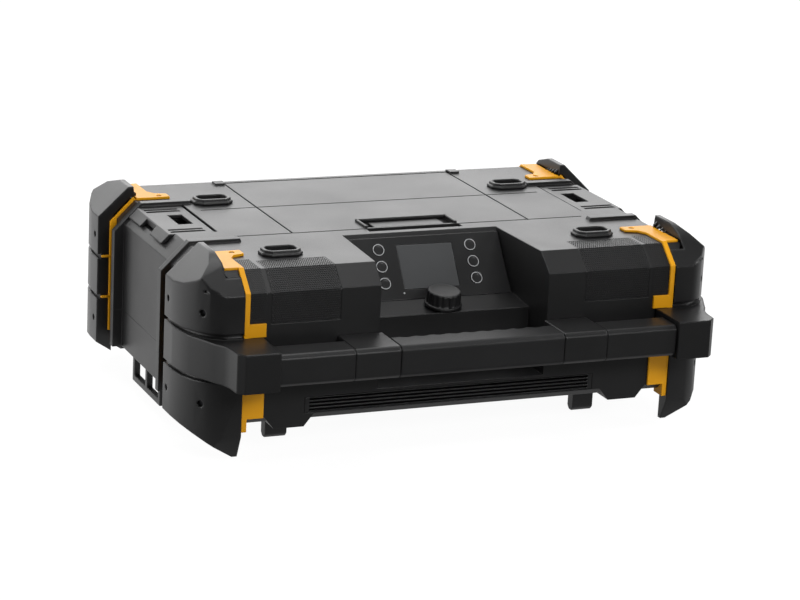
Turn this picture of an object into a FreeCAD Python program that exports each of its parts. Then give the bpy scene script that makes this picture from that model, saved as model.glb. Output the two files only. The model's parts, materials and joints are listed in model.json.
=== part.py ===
import FreeCAD, Part
import math
import os
import Sketcher

# Jobsite radio with a charger bay under its lid, in millimetres.
# Origin: centre of the footprint at the foot soles. Front is -Y, top is +Z, left is -X.
# Depths along Y are given from the middle of the case, which lies case_mid_y behind the origin.

doc = FreeCAD.newDocument("jobsite_radio")
Vector = FreeCAD.Vector

driving_sizes = {
    # case
    "case_mid_y": 19.5,
    "side_x": 205.0,
    "front_depth": 147.0,
    "fold_depth": 130.5,
    "shoulder_z": 131.6,
    "top_z": 145.7,
    "side_chamfer": 14.0,
    "split_z": 61.0,
    "floor_z": 30.0,
    "floor_chamfer": 5.0,
    "case_wall": 3.0,
    "fit_gap": 0.3,
    "corner_x": 174.5,
    "corner_setback": 11.3,
    "corner_chamfer_x": 17.0,
    "corner_chamfer_depth": 22.7,
    "wedge_inner_x": 120.0,
    "wedge_outer_x": 160.0,
    "wedge_run": 8.0,
    # side ribs
    "rib_front_depth": 51.0,
    "rib_gap": 1.0,
    "rib_width": 7.0,
    "rib_x": 213.0,
    "rib_rise": 2.5,
    "rib_inner_x": 150.0,
    # control recess
    "recess_back_x": 65.6,
    "recess_front_x": 70.0,
    "panel_top_depth": 57.2,
    "panel_tilt": 36.0,
    "shelf_back_z": 100.7,
    "shelf_front_depth": 117.0,
    "shelf_front_z": 97.0,
    "lip_z": 50.0,
    "panel_thick": 2.5,
    # display and presets
    "screen_half_x": 23.3,
    "screen_low_z": 107.9,
    "screen_high_z": 137.3,
    "screen_glass": 1.2,
    "module_thick": 4.8,
    "board_thick": 1.6,
    "preset_x": 39.0,
    "preset_high_z": 135.2,
    "preset_pitch": 14.0,
    "preset_radius": 4.8,
    "preset_thick": 1.6,
    "preset_proud": 0.2,
    "preset_bore": 5.2,
    # tuning knob
    "knob_depth": 105.5,
    "knob_radius": 14.7,
    "knob_height": 12.4,
    "knob_gap": 1.4,
    "knob_skirt": 2.4,
    "knob_step": 0.8,
    "knob_flutes": 16.0,
    "flute_radius": 1.6,
    "shaft_radius": 3.0,
    "shaft_play": 0.05,
    "shaft_up": 10.0,
    "shaft_down": 9.0,
    "encoder_side": 14.0,
    "encoder_thick": 8.0,
    # charger bay
    "lid_half_x": 101.3,
    "lid_front_depth": 38.7,
    "lid_rear_depth": 125.6,
    "lid_thick": 4.5,
    "seal_thick": 1.5,
    "seal_width": 4.0,
    "ledge": 8.0,
    "tub_wall": 2.5,
    "tub_floor_z": 75.0,
    "pin_radius": 1.5,
    "pin_length": 18.0,
    "hinge_block": 9.0,
    "hinge_rise": 1.6,
    "latch_half_x": 30.0,
    "latch_travel": 5.0,
    "latch_front_depth": 34.0,
    "latch_length": 16.0,
    "tongue_half_x": 12.0,
    "tongue_thick": 3.2,
    "finger_half_x": 40.0,
    "finger_gap": 9.0,
    "finger_drop": 10.0,
    "dock_half_x": 32.0,
    "dock_front": 30.0,
    "dock_length": 65.0,
    "dock_height": 15.0,
    "blade_thick": 1.0,
    "blade_height": 9.0,
    "blade_length": 12.0,
    "blade_pitch": 8.0,
    # speakers
    "speaker_inner_x": 101.7,
    "speaker_outer_x": 157.0,
    "speaker_back_depth": 109.7,
    "speaker_low_z": 107.4,
    "grille_thick": 1.5,
    "grille_ledge": 4.0,
    "baffle_sum": 236.0,
    "driver_radius": 26.0,
    "driver_hole": 22.0,
    "magnet_radius": 15.0,
    # handle bar
    "bar_space": 14.5,
    "bar_thick": 24.5,
    "bar_top_z": 95.0,
    "bar_low_z": 70.0,
    "bar_bevel": 3.0,
    "grip_half_x": 67.2,
    "bracket_x": 103.7,
    "bar_end_x": 163.8,
    "grip_waves": 9.0,
    "wave_depth": 1.6,
    # corner bumpers
    "bumper_x": 220.0,
    "bumper_proud": 3.0,
    "bumper_edge_depth": 87.0,
    "bumper_wall": 12.0,
    "bumper_inner_x": 178.8,
    "bumper_shoulder_z": 133.0,
    "fin_x": 195.0,
    "fin_top_z": 156.5,
    "fin_thick": 4.0,
    "fin_run": 18.5,
    "bumper_low_z": 28.0,
    "tip_x": 183.0,
    "tip_z": 4.0,
    "groove_low_z": 66.3,
    "groove_high_z": 100.2,
    "groove_height": 3.4,
    "groove_deep": 3.0,
    "cap_proud": 3.0,
    "cap_x": 196.0,
    "cap_low_z": 68.2,
    "cap_high_z": 98.2,
    "screw_hole": 2.6,
    "screw_radius": 2.3,
    "screw_sink": 3.0,
    "screw_length": 8.0,
    "screw_high_z": 117.0,
    "screw_low_z": 47.0,
    # corner liners
    "liner_thick": 2.0,
    "liner_low_z": 25.0,
    "window_x": 161.3,
    "window_low_z": 98.2,
    "window_high_z": 108.4,
    "post_high_z": 60.0,
    "tongue_tip_x": 161.0,
    # stacking bosses and feet
    "boss_x": 131.5,
    "boss_front_depth": 93.5,
    "boss_rear_depth": 66.6,
    "boss_half_x": 16.5,
    "boss_half_depth": 11.0,
    "boss_step": 1.6,
    "boss_tier": 2.3,
    "boss_wall": 4.5,
    "foot_half_x": 9.0,
    "foot_half_depth": 5.0,
    "foot_chamfer": 3.0,
    # side latch plates and loops
    "plate_inner_x": 159.0,
    "plate_outer_x": 202.5,
    "plate_front_depth": 20.0,
    "plate_rear_depth": 62.0,
    "plate_drop": 0.7,
    "plate_thick": 3.0,
    "pocket_drop": 7.7,
    "pocket_gap": 2.0,
    "hole_inner_x": 167.0,
    "hole_outer_x": 179.0,
    "loop_half_depth": 35.0,
    "loop_x": 200.0,
    "loop_low_z": 11.0,
    "loop_bar": 5.0,
    # vent grille
    "vent_left_x": 128.0,
    "vent_right_x": 113.0,
    "vent_low_z": 35.5,
    "vent_high_z": 48.0,
    "vent_slots": 4.0,
    "vent_slot": 1.5,
    # inside and rear
    "main_board_z": 64.0,
    "board_half_x": 88.0,
    "board_front": 20.0,
    "board_rear": 105.0,
    "standoff_radius": 3.0,
    "supply_x": 70.0,
    "supply_depth": 70.0,
    "supply_height": 26.0,
    "inlet_x": 130.0,
    "inlet_half_x": 14.0,
    "inlet_low_z": 78.0,
    "inlet_high_z": 98.0,
    "inlet_deep": 20.0,
    "inlet_wall": 2.5,
    "antenna_length": 120.0,
    "antenna_width": 14.0,
    "socket_side": 14.0,
    "socket_deep": 16.0,
}

sheet = doc.addObject("Spreadsheet::Sheet", "Sizes")
for row, (alias, number) in enumerate(driving_sizes.items(), start=1):
    sheet.set(f"A{row}", alias)
    sheet.set(f"B{row}", str(number))
    sheet.setAlias(f"B{row}", alias)
doc.recompute()


class Size:
    """A length as the sheet's expression and as its number."""

    def __init__(self, text, value):
        self.text = text
        self.value = value

    def __add__(self, other):
        return joined(self, "+", other)

    def __radd__(self, other):
        return joined(other, "+", self)

    def __sub__(self, other):
        return joined(self, "-", other)

    def __rsub__(self, other):
        return joined(other, "-", self)

    def __mul__(self, other):
        return joined(self, "*", other)

    def __rmul__(self, other):
        return joined(other, "*", self)

    def __truediv__(self, other):
        return joined(self, "/", other)

    def __rtruediv__(self, other):
        return joined(other, "/", self)

    def __neg__(self):
        return joined(0, "-", self)


def as_size(item):
    if isinstance(item, Size):
        return item
    return Size(f"({float(item)})", float(item))


def joined(first, sign, second):
    first = as_size(first)
    second = as_size(second)
    values = {
        "+": first.value + second.value,
        "-": first.value - second.value,
        "*": first.value * second.value,
        "/": first.value / second.value if second.value else 0.0,
    }
    return Size(f"({first.text} {sign} {second.text})", values[sign])


def tangent(angle):
    return Size(f"tan({angle.text} * 1 deg)", math.tan(math.radians(angle.value)))


def cosine(angle):
    return Size(f"cos({angle.text} * 1 deg)", math.cos(math.radians(angle.value)))


def sine(angle):
    return Size(f"sin({angle.text} * 1 deg)", math.sin(math.radians(angle.value)))


class Named:
    """The driving sizes by name."""


s = Named()
for alias in driving_sizes:
    setattr(s, alias, Size(f"Sizes.{alias}", float(sheet.get(alias))))

# places that follow from the sizes above
s.corner_depth = s.front_depth - s.corner_setback
s.bumper_depth = s.front_depth + s.bumper_proud
s.bar_back_depth = s.front_depth + s.bar_space
s.bar_front_depth = s.bar_back_depth + s.bar_thick
s.cap_depth = s.bar_front_depth + s.cap_proud

sub_parts = []


def register(label, item):
    item.Label = label
    sub_parts.append(item)
    return item


def bind(item, path, size):
    item.setExpression(path, as_size(size).text)


def prism(name, plane, outline, low, high):
    """Outline on a plane, padded from low to high along the plane's axis."""
    body = doc.addObject("PartDesign::Body", name)
    sketch = body.newObject("Sketcher::SketchObject", name + "_outline")
    planes = [item for item in body.Origin.OriginFeatures if item.Role == plane + "_Plane"]
    sketch.AttachmentSupport = [(planes[0], "")]
    sketch.MapMode = "FlatFace"
    low = as_size(low)
    high = as_size(high)
    if plane == "XZ":
        bind(sketch, "AttachmentOffset.Base.z", -(high + s.case_mid_y))
    elif plane == "YZ":
        bind(sketch, "AttachmentOffset.Base.z", low)
        bind(sketch, "AttachmentOffset.Base.x", s.case_mid_y)
    else:
        bind(sketch, "AttachmentOffset.Base.z", low)
        bind(sketch, "AttachmentOffset.Base.y", s.case_mid_y)
    corners = [(as_size(across), as_size(along)) for across, along in outline]
    count = len(corners)
    for index in range(count):
        here = corners[index]
        there = corners[(index + 1) % count]
        start = Vector(here[0].value, here[1].value, 0)
        end = Vector(there[0].value, there[1].value, 0)
        sketch.addGeometry(Part.LineSegment(start, end), False)
    for index in range(count):
        sketch.addConstraint(Sketcher.Constraint("Coincident", index, 2, (index + 1) % count, 1))
    for index, (across, along) in enumerate(corners):
        for kind, size in (("DistanceX", across), ("DistanceY", along)):
            number = sketch.addConstraint(Sketcher.Constraint(kind, -1, 1, index, 1, size.value))
            bind(sketch, f"Constraints[{number}]", size)
    pad = body.newObject("PartDesign::Pad", name + "_pad")
    pad.Profile = sketch
    bind(pad, "Length", high - low)
    return body


def block(name, left, right, near, far, low, high):
    box = doc.addObject("Part::Box", name)
    bind(box, "Length", as_size(right) - left)
    bind(box, "Width", as_size(far) - near)
    bind(box, "Height", as_size(high) - low)
    bind(box, "Placement.Base.x", left)
    bind(box, "Placement.Base.y", s.case_mid_y + near)
    bind(box, "Placement.Base.z", low)
    return box


def rod(name, radius, height, base, axis=(0, 0, 1), tilt=None):
    """Cylinder from a base point along an axis, or leaning towards the front by tilt."""
    cylinder = doc.addObject("Part::Cylinder", name)
    bind(cylinder, "Radius", radius)
    bind(cylinder, "Height", height)
    if tilt is None:
        turn = FreeCAD.Rotation(Vector(0, 0, 1), Vector(*axis))
    else:
        turn = FreeCAD.Rotation(Vector(1, 0, 0), tilt.value)
    cylinder.Placement = FreeCAD.Placement(Vector(0, 0, 0), turn)
    bind(cylinder, "Placement.Base.x", base[0])
    bind(cylinder, "Placement.Base.y", s.case_mid_y + base[1])
    bind(cylinder, "Placement.Base.z", base[2])
    if tilt is not None:
        bind(cylinder, "Placement.Rotation.Angle", tilt)
    return cylinder


def fuse(name, *items):
    union = doc.addObject("Part::MultiFuse", name)
    union.Shapes = list(items)
    return union


def common(name, *items):
    overlap = doc.addObject("Part::MultiCommon", name)
    overlap.Shapes = list(items)
    return overlap


def cut(name, base, *tools):
    tool = tools[0] if len(tools) == 1 else fuse(name + "_tools", *tools)
    remainder = doc.addObject("Part::Cut", name)
    remainder.Base = base
    remainder.Tool = tool
    return remainder


def group(name, *items):
    together = doc.addObject("Part::Compound", name)
    together.Links = list(items)
    return together


def mirror(name, source, across_x=False, across_y=False):
    """Mirror image across the centre plane X, or across the middle of the case."""
    image = doc.addObject("Part::Mirroring", name)
    image.Source = source
    image.Normal = Vector(1, 0, 0) if across_x else Vector(0, 1, 0)
    if across_y:
        bind(image, "Base.y", s.case_mid_y)
    return image


def panel_depth(height, deep=0.0):
    """Y of the tilted panel plane at a height, moved deep into the case."""
    fall = (s.top_z - height) * tangent(s.panel_tilt)
    return -s.panel_top_depth - fall + deep / cosine(s.panel_tilt)


def panel_slab(name, half_x, low_z, high_z, near, far):
    """Slab parallel to the tilted panel between two depths below its face."""
    outline = [
        (panel_depth(low_z, near), low_z),
        (panel_depth(high_z, near), high_z),
        (panel_depth(high_z, far), high_z),
        (panel_depth(low_z, far), low_z),
    ]
    return prism(name, "YZ", outline, -half_x, half_x)


shelf_back_y = panel_depth(s.shelf_back_z)
shelf_slope = (s.shelf_back_z - s.shelf_front_z) / (shelf_back_y + s.shelf_front_depth)
shelf_wall = s.case_wall * (1 + shelf_slope)
shelf_tilt = Size(f"atan({shelf_slope.text}) / 1 deg", math.degrees(math.atan(shelf_slope.value)))


def case_profile(name, half_x, shrink, low, high=None):
    """Case section along X, shrunk evenly, clipped to a height range."""
    top = s.top_z - shrink
    front = s.front_depth - shrink
    fold = s.fold_depth - shrink * 0.4
    shoulder = s.shoulder_z - shrink * 0.4
    outline = [
        (-front, low),
        (-front, shoulder),
        (-fold, top),
        (fold, top),
        (front, shoulder),
        (front, low),
    ]
    return prism(name, "YZ", outline, -half_x, half_x)


def side_profile(name, shrink, low):
    """Case section along Y with the chamfered upper sides."""
    half = s.side_x - shrink
    top = s.top_z - shrink
    turn = s.side_chamfer - shrink * 0.4
    outline = [(-half, low), (-half, top - turn), (-half + turn, top)]
    outline += [(half - turn, top), (half, top - turn), (half, low)]
    return prism(name, "XZ", outline, -s.bumper_depth, s.bumper_depth)


def corner_outline(grow):
    """Plan of the space outside one case corner, moved outwards by grow."""
    inner_x = s.corner_x + grow
    depth = s.corner_depth + grow
    side = s.side_x + grow
    turn_x = side - s.corner_chamfer_x
    turn_depth = depth - s.corner_chamfer_depth
    far_x = s.bumper_x + s.bumper_wall
    far_depth = s.bumper_depth + s.bumper_wall
    return [(inner_x, far_depth), (inner_x, depth), (turn_x, depth),
            (side, turn_depth), (far_x, turn_depth), (far_x, far_depth)]


def four_corners(name, source):
    """The source at the rear right corner and its three mirror images."""
    rear_left = mirror(name + "_rear_left", source, across_x=True)
    front_right = mirror(name + "_front_right", source, across_y=True)
    front_left = mirror(name + "_front_left", front_right, across_x=True)
    return [source, rear_left, front_right, front_left]


def grille_space(name, deep, margin):
    """Region of the case skin over one speaker, on the right."""
    skin = block(name + "_range", s.speaker_inner_x + margin, s.speaker_outer_x - margin,
                 -s.bumper_depth, -s.speaker_back_depth - margin, s.speaker_low_z + margin, s.fin_top_z)
    core = case_profile(name + "_core", s.side_x, deep, s.floor_z)
    shell = cut(name + "_shell", case_profile(name + "_outer", s.side_x, as_size(0), s.floor_z), core)
    return common(name, shell, skin)


def recess_space(name, back, high):
    """Space in front of the controls, starting a depth below the panel face."""
    outline = [
        (panel_depth(high, back), high),
        (panel_depth(s.shelf_back_z, back), s.shelf_back_z),
        (shelf_back_y, s.shelf_back_z),
        (-s.shelf_front_depth, s.shelf_front_z),
        (-s.shelf_front_depth, s.lip_z + 2),
        (-s.bumper_depth, s.lip_z),
        (-s.bumper_depth, high),
    ]
    depth_run = prism(name + "_profile", "YZ", outline, -s.recess_front_x, s.recess_front_x)
    plan = [
        (-s.recess_back_x, -s.panel_top_depth + s.case_wall * 2),
        (s.recess_back_x, -s.panel_top_depth + s.case_wall * 2),
        (s.recess_front_x, -s.bumper_depth),
        (-s.recess_front_x, -s.bumper_depth),
    ]
    taper = prism(name + "_plan", "XY", plan, s.floor_z, high)
    return common(name, depth_run, taper)


def recess_block(name):
    """The recess space grown by the case wall."""
    wall = s.case_wall
    back = s.panel_thick + wall
    outline = [
        (panel_depth(s.top_z, back), s.top_z),
        (panel_depth(s.shelf_back_z, back), s.shelf_back_z),
        (shelf_back_y + wall, s.shelf_back_z - wall),
        (-s.shelf_front_depth + wall, s.shelf_front_z - wall),
        (-s.shelf_front_depth + wall, s.lip_z + 2 - wall),
        (-s.front_depth, s.lip_z - wall),
        (-s.front_depth, s.top_z),
    ]
    half = s.recess_front_x + wall
    return prism(name, "YZ", outline, -half, half)


def pocket_plan(name, low, high, grow):
    """Block for the latch plate pocket at the right side."""
    return block(name, s.plate_inner_x - s.pocket_gap - grow, s.side_x + s.rib_rise,
                 -s.plate_front_depth - s.pocket_gap - grow, s.plate_rear_depth + s.pocket_gap + grow,
                 low, high)


def side_ribs(name, low, high):
    """Front and rear side ribs on both sides, wrapping over the top."""
    half = s.rib_width / 2
    rear = s.plate_rear_depth + s.pocket_gap + s.rib_gap + half
    ribs = []
    for place, depth in (("front", -s.rib_front_depth), ("rear", rear)):
        right = rib(f"{name}_{place}", low, high, depth - half, depth + half)
        ribs += [right, mirror(f"{name}_{place}_left", right, across_x=True)]
    return ribs


def rib(name, low, high, near, far):
    """One side rib on the right between two depths."""
    rise = s.top_z + s.rib_rise
    turn = s.rib_x - s.side_x + s.side_chamfer
    outline = [
        (s.rib_x, low), (s.rib_x, rise - turn), (s.rib_x - turn, rise),
        (s.rib_inner_x, rise), (s.rib_inner_x - s.rib_rise, s.top_z - s.case_wall),
        (s.side_x - s.side_chamfer - s.case_wall, s.top_z - s.case_wall),
        (s.side_x - s.case_wall, s.top_z - s.side_chamfer - s.case_wall), (s.side_x - s.case_wall, low),
    ]
    whole = prism(name + "_whole", "XZ", outline, near, far)
    keep = block(name + "_keep", 0, s.bumper_x, -s.bumper_depth, s.bumper_depth, low, high)
    return common(name, whole, keep)


def hinge_axis():
    return s.lid_rear_depth - s.fit_gap - s.lid_thick / 2, s.top_z - s.lid_thick / 2


def upper_housing():
    outer = common("upper_outer", case_profile("upper_run", s.side_x, as_size(0), s.split_z),
                   side_profile("upper_sides", as_size(0), s.split_z))
    hollow = common("upper_hollow", case_profile("upper_hollow_run", s.side_x, s.case_wall, s.split_z),
                    side_profile("upper_hollow_sides", s.case_wall, s.split_z))
    lid_floor_z = s.top_z - s.lid_thick - s.seal_thick - s.fit_gap
    lid_block = block("lid_block", -s.lid_half_x - s.case_wall, s.lid_half_x + s.case_wall,
                      -s.lid_front_depth - s.finger_gap - s.case_wall, s.fold_depth - s.case_wall,
                      lid_floor_z - s.case_wall, s.top_z - s.case_wall)
    finger_block = block("finger_block", -s.finger_half_x - s.case_wall, s.finger_half_x + s.case_wall,
                         -s.lid_front_depth - s.finger_gap - s.case_wall, -s.lid_front_depth + s.case_wall,
                         s.top_z - s.finger_drop - s.case_wall, s.top_z - s.case_wall)
    pocket_low = s.top_z - s.pocket_drop
    pockets = pocket_plan("pocket_block", pocket_low - s.case_wall, s.top_z, s.case_wall)
    pockets_left = mirror("pocket_block_left", pockets, across_x=True)
    corner_wall = prism("corner_wall", "XY", corner_outline(-s.case_wall), s.split_z, s.top_z)
    walls = fuse("upper_inner_walls", lid_block, finger_block, pockets, pockets_left,
                 recess_block("recess_walls"), *four_corners("corner_wall_at", corner_wall))
    shell = cut("upper_shell", outer, cut("upper_void", hollow, walls))

    lid_space = block("lid_space", -s.lid_half_x, s.lid_half_x, -s.lid_front_depth, s.lid_rear_depth,
                      lid_floor_z, s.fin_top_z)
    bay_space = block("bay_space", -s.lid_half_x + s.ledge, s.lid_half_x - s.ledge,
                      -s.lid_front_depth + s.ledge, s.lid_rear_depth - s.ledge - s.tub_wall,
                      s.split_z, s.fin_top_z)
    finger_space = block("finger_space", -s.finger_half_x, s.finger_half_x,
                         -s.lid_front_depth - s.finger_gap, -s.lid_front_depth,
                         s.top_z - s.finger_drop, s.fin_top_z)
    pocket_space = pocket_plan("pocket_space", pocket_low, s.fin_top_z, 0)
    pocket_space_left = mirror("pocket_space_left", pocket_space, across_x=True)
    screen_hole = panel_slab("screen_hole", s.screen_half_x + s.fit_gap, s.screen_low_z - s.fit_gap,
                             s.screen_high_z + s.fit_gap, -1.0, s.panel_thick + s.case_wall * 2)
    shaft_hole = rod("shaft_hole", s.shaft_radius + s.fit_gap * 2, s.shaft_up + s.shaft_down,
                     shelf_point(-s.shaft_down), tilt=shelf_tilt)
    corner_cut = prism("corner_cut", "XY", corner_outline(as_size(0)), s.floor_z, s.fin_top_z)
    grilles = []
    for name, deep, margin in (("grille_seat", s.grille_thick, as_size(0)),
                               ("grille_hole", s.case_wall + 1, s.grille_ledge)):
        right = grille_space(name, deep, margin)
        grilles += [right, mirror(name + "_left", right, across_x=True)]
    inlet_hole = block("inlet_hole", s.inlet_x - s.inlet_half_x, s.inlet_x + s.inlet_half_x,
                       s.front_depth - s.case_wall * 2, s.bumper_depth, s.inlet_low_z, s.inlet_high_z)
    opened = cut("upper_opened", shell, lid_space, bay_space, finger_space, pocket_space,
                 pocket_space_left, recess_space("recess_cut", s.panel_thick, s.fin_top_z), screen_hole,
                 shaft_hole, inlet_hole, *grilles, *four_corners("corner_cut_at", corner_cut))

    axis_depth, axis_z = hinge_axis()
    half_block = s.hinge_block / 2
    ear = block("hinge_ear", s.lid_half_x, s.lid_half_x + s.hinge_block, axis_depth - half_block,
                axis_depth + half_block, axis_z - half_block, s.top_z + s.hinge_rise)
    extras = [ear, mirror("hinge_ear_left", ear, across_x=True)]
    extras += side_ribs("upper_rib", s.split_z, s.fin_top_z)
    bore = rod("hinge_bore", s.pin_radius + s.shaft_play, s.pin_length,
               (s.lid_half_x - s.pin_length / 2, axis_depth, axis_z), axis=(1, 0, 0))
    whole = fuse("upper_whole", opened, *extras)
    register("upper_housing", cut("upper_case", whole, bore, mirror("hinge_bore_left", bore, across_x=True)))


def case_screw_rods(name):
    """Six upright rods where screws hold the two halves of the case."""
    rods = []
    for side in (-1, 1):
        for index, depth in enumerate((-s.fold_depth + 20, as_size(0), s.fold_depth - 20)):
            rods.append(rod(f"{name}_{side + 2}_{index + 1}", s.screw_radius, s.case_wall,
                            (side * s.boss_x * 0.7, depth, s.floor_z - 1)))
    return rods


def lower_housing():
    low = s.floor_z
    chamfer = s.floor_chamfer
    front = s.front_depth
    outline = [(-front, s.split_z), (-front, low + chamfer), (-front + chamfer, low),
               (front - chamfer, low), (front, low + chamfer), (front, s.split_z)]
    run = prism("lower_run", "YZ", outline, -s.side_x, s.side_x)
    wall = s.case_wall
    hollow = block("lower_hollow", -s.side_x + wall, s.side_x - wall, -front + wall, front - wall,
                   low + wall, s.split_z)
    corner_wall = prism("lower_corner_wall", "XY", corner_outline(-wall), low, s.split_z)
    keep = fuse("lower_walls", recess_block("lower_recess_walls"),
                *four_corners("lower_corner_wall_at", corner_wall))
    shell = cut("lower_shell", run, cut("lower_void", hollow, keep))
    vent_hole = block("vent_hole", -s.vent_left_x, s.vent_right_x, -front, -front + wall,
                      s.vent_low_z, s.vent_high_z)
    corner_cut = prism("lower_corner_cut", "XY", corner_outline(as_size(0)), low, s.split_z)
    opened = cut("lower_opened", shell, recess_space("lower_recess_cut", s.panel_thick, s.split_z + 1),
                 vent_hole, *case_screw_rods("case_screw_seat"), *four_corners("lower_corner_cut_at", corner_cut))
    wedge = prism("front_wedge", "XZ",
                  [(s.wedge_inner_x, low + chamfer), (s.wedge_inner_x + s.wedge_run, s.liner_low_z),
                   (s.wedge_outer_x - s.wedge_run, s.liner_low_z), (s.wedge_outer_x, low + chamfer)],
                  -front, -front + s.bumper_wall * 2)
    register("lower_housing", fuse("lower_case", opened, wedge, mirror("front_wedge_left", wedge, across_x=True),
                                   *side_ribs("lower_rib", low, s.split_z)))


def shelf_point(rise):
    """Point on the knob's axis at a rise above the shelf."""
    shelf_z = s.shelf_front_z + (s.shelf_front_depth - s.knob_depth) * shelf_slope
    return (as_size(0), -s.knob_depth - rise * sine(shelf_tilt), shelf_z + rise * cosine(shelf_tilt))


def control_panel():
    top = s.top_z - s.panel_thick
    plate = panel_slab("panel_plate", s.recess_back_x - s.fit_gap, s.shelf_back_z + s.fit_gap, top,
                       0.0, s.panel_thick)
    window = panel_slab("panel_window", s.screen_half_x + s.fit_gap, s.screen_low_z - s.fit_gap,
                        s.screen_high_z + s.fit_gap, -1.0, s.panel_thick + 1)
    bores = []
    back = s.panel_thick * 1.5
    for index, (across, height) in enumerate(preset_places()):
        base = (across, panel_depth(height) + back * cosine(s.panel_tilt), height - back * sine(s.panel_tilt))
        bores.append(rod(f"preset_bore_{index + 1}", s.preset_bore, back * 2, base, tilt=90 - s.panel_tilt))
    register("control_panel", cut("panel", plate, window, *bores))


def preset_places():
    places = []
    for side in (-1, 1):
        for row in range(3):
            places.append((side * s.preset_x, s.preset_high_z - row * s.preset_pitch * cosine(s.panel_tilt)))
    return places


def preset_buttons():
    deep = s.preset_thick - s.preset_proud
    for index, (across, height) in enumerate(preset_places()):
        # the button's axis meets the panel face at this height
        base = (across, panel_depth(height) + deep * cosine(s.panel_tilt), height - deep * sine(s.panel_tilt))
        button = rod(f"preset_{index + 1}", s.preset_radius, s.preset_thick, base, tilt=90 - s.panel_tilt)
        register(f"preset_button_{index + 1}", button)


def display():
    glass = panel_slab("glass", s.screen_half_x, s.screen_low_z, s.screen_high_z, 0.0, s.screen_glass)
    register("display_window", glass)
    module_back = s.screen_glass + s.module_thick
    module = panel_slab("module", s.screen_half_x, s.screen_low_z, s.screen_high_z, s.screen_glass, module_back)
    register("display_module", module)
    board = panel_slab("display_card", s.recess_back_x - s.screen_half_x, s.shelf_back_z + s.case_wall,
                       s.screen_high_z, module_back, module_back + s.board_thick)
    register("display_board", board)


def tuning_knob():
    base = shelf_point(s.knob_gap)
    skirt = rod("knob_skirt", s.knob_radius, s.knob_skirt, base, tilt=shelf_tilt)
    body = rod("knob_body", s.knob_radius - s.knob_step, s.knob_height - s.knob_skirt,
               shelf_point(s.knob_gap + s.knob_skirt), tilt=shelf_tilt)
    flutes = []
    count = round(s.knob_flutes.value)
    for index in range(count):
        turn = 2 * math.pi * index / count
        across, along = math.sin(turn), math.cos(turn)
        foot = shelf_point(s.knob_gap + s.knob_skirt)
        at = (s.knob_radius * across, foot[1] + s.knob_radius * along * cosine(shelf_tilt),
              foot[2] + s.knob_radius * along * sine(shelf_tilt))
        flutes.append(rod(f"knob_flute_{index + 1}", s.flute_radius, s.knob_height, at, tilt=shelf_tilt))
    rim = cut("knob_fluted", fuse("knob_blank", skirt, body), *flutes)
    bore = rod("knob_bore", s.shaft_radius + s.shaft_play, s.shaft_up - s.knob_gap + s.fit_gap,
               base, tilt=shelf_tilt)
    register("tuning_knob", cut("knob", rim, bore))
    shaft = rod("shaft", s.shaft_radius, s.shaft_up + s.shaft_down, shelf_point(-s.shaft_down), tilt=shelf_tilt)
    register("encoder_shaft", shaft)
    half = s.encoder_side / 2
    case = doc.addObject("Part::Box", "encoder_case")
    bind(case, "Length", s.encoder_side)
    bind(case, "Width", s.encoder_side)
    bind(case, "Height", s.encoder_thick)
    case.Placement = FreeCAD.Placement(Vector(0, 0, 0), FreeCAD.Rotation(Vector(1, 0, 0), shelf_tilt.value))
    low_point = shelf_point(-s.encoder_thick - shelf_wall - s.fit_gap)
    bind(case, "Placement.Base.x", -half)
    bind(case, "Placement.Base.y", s.case_mid_y + low_point[1] - half * cosine(shelf_tilt))
    bind(case, "Placement.Base.z", low_point[2] - half * sine(shelf_tilt))
    bind(case, "Placement.Rotation.Angle", shelf_tilt)
    well = rod("encoder_well", s.shaft_radius + s.shaft_play, s.encoder_thick,
               shelf_point(-s.shaft_down - s.knob_gap), tilt=shelf_tilt)
    register("encoder_body", cut("encoder", case, well))


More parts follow.
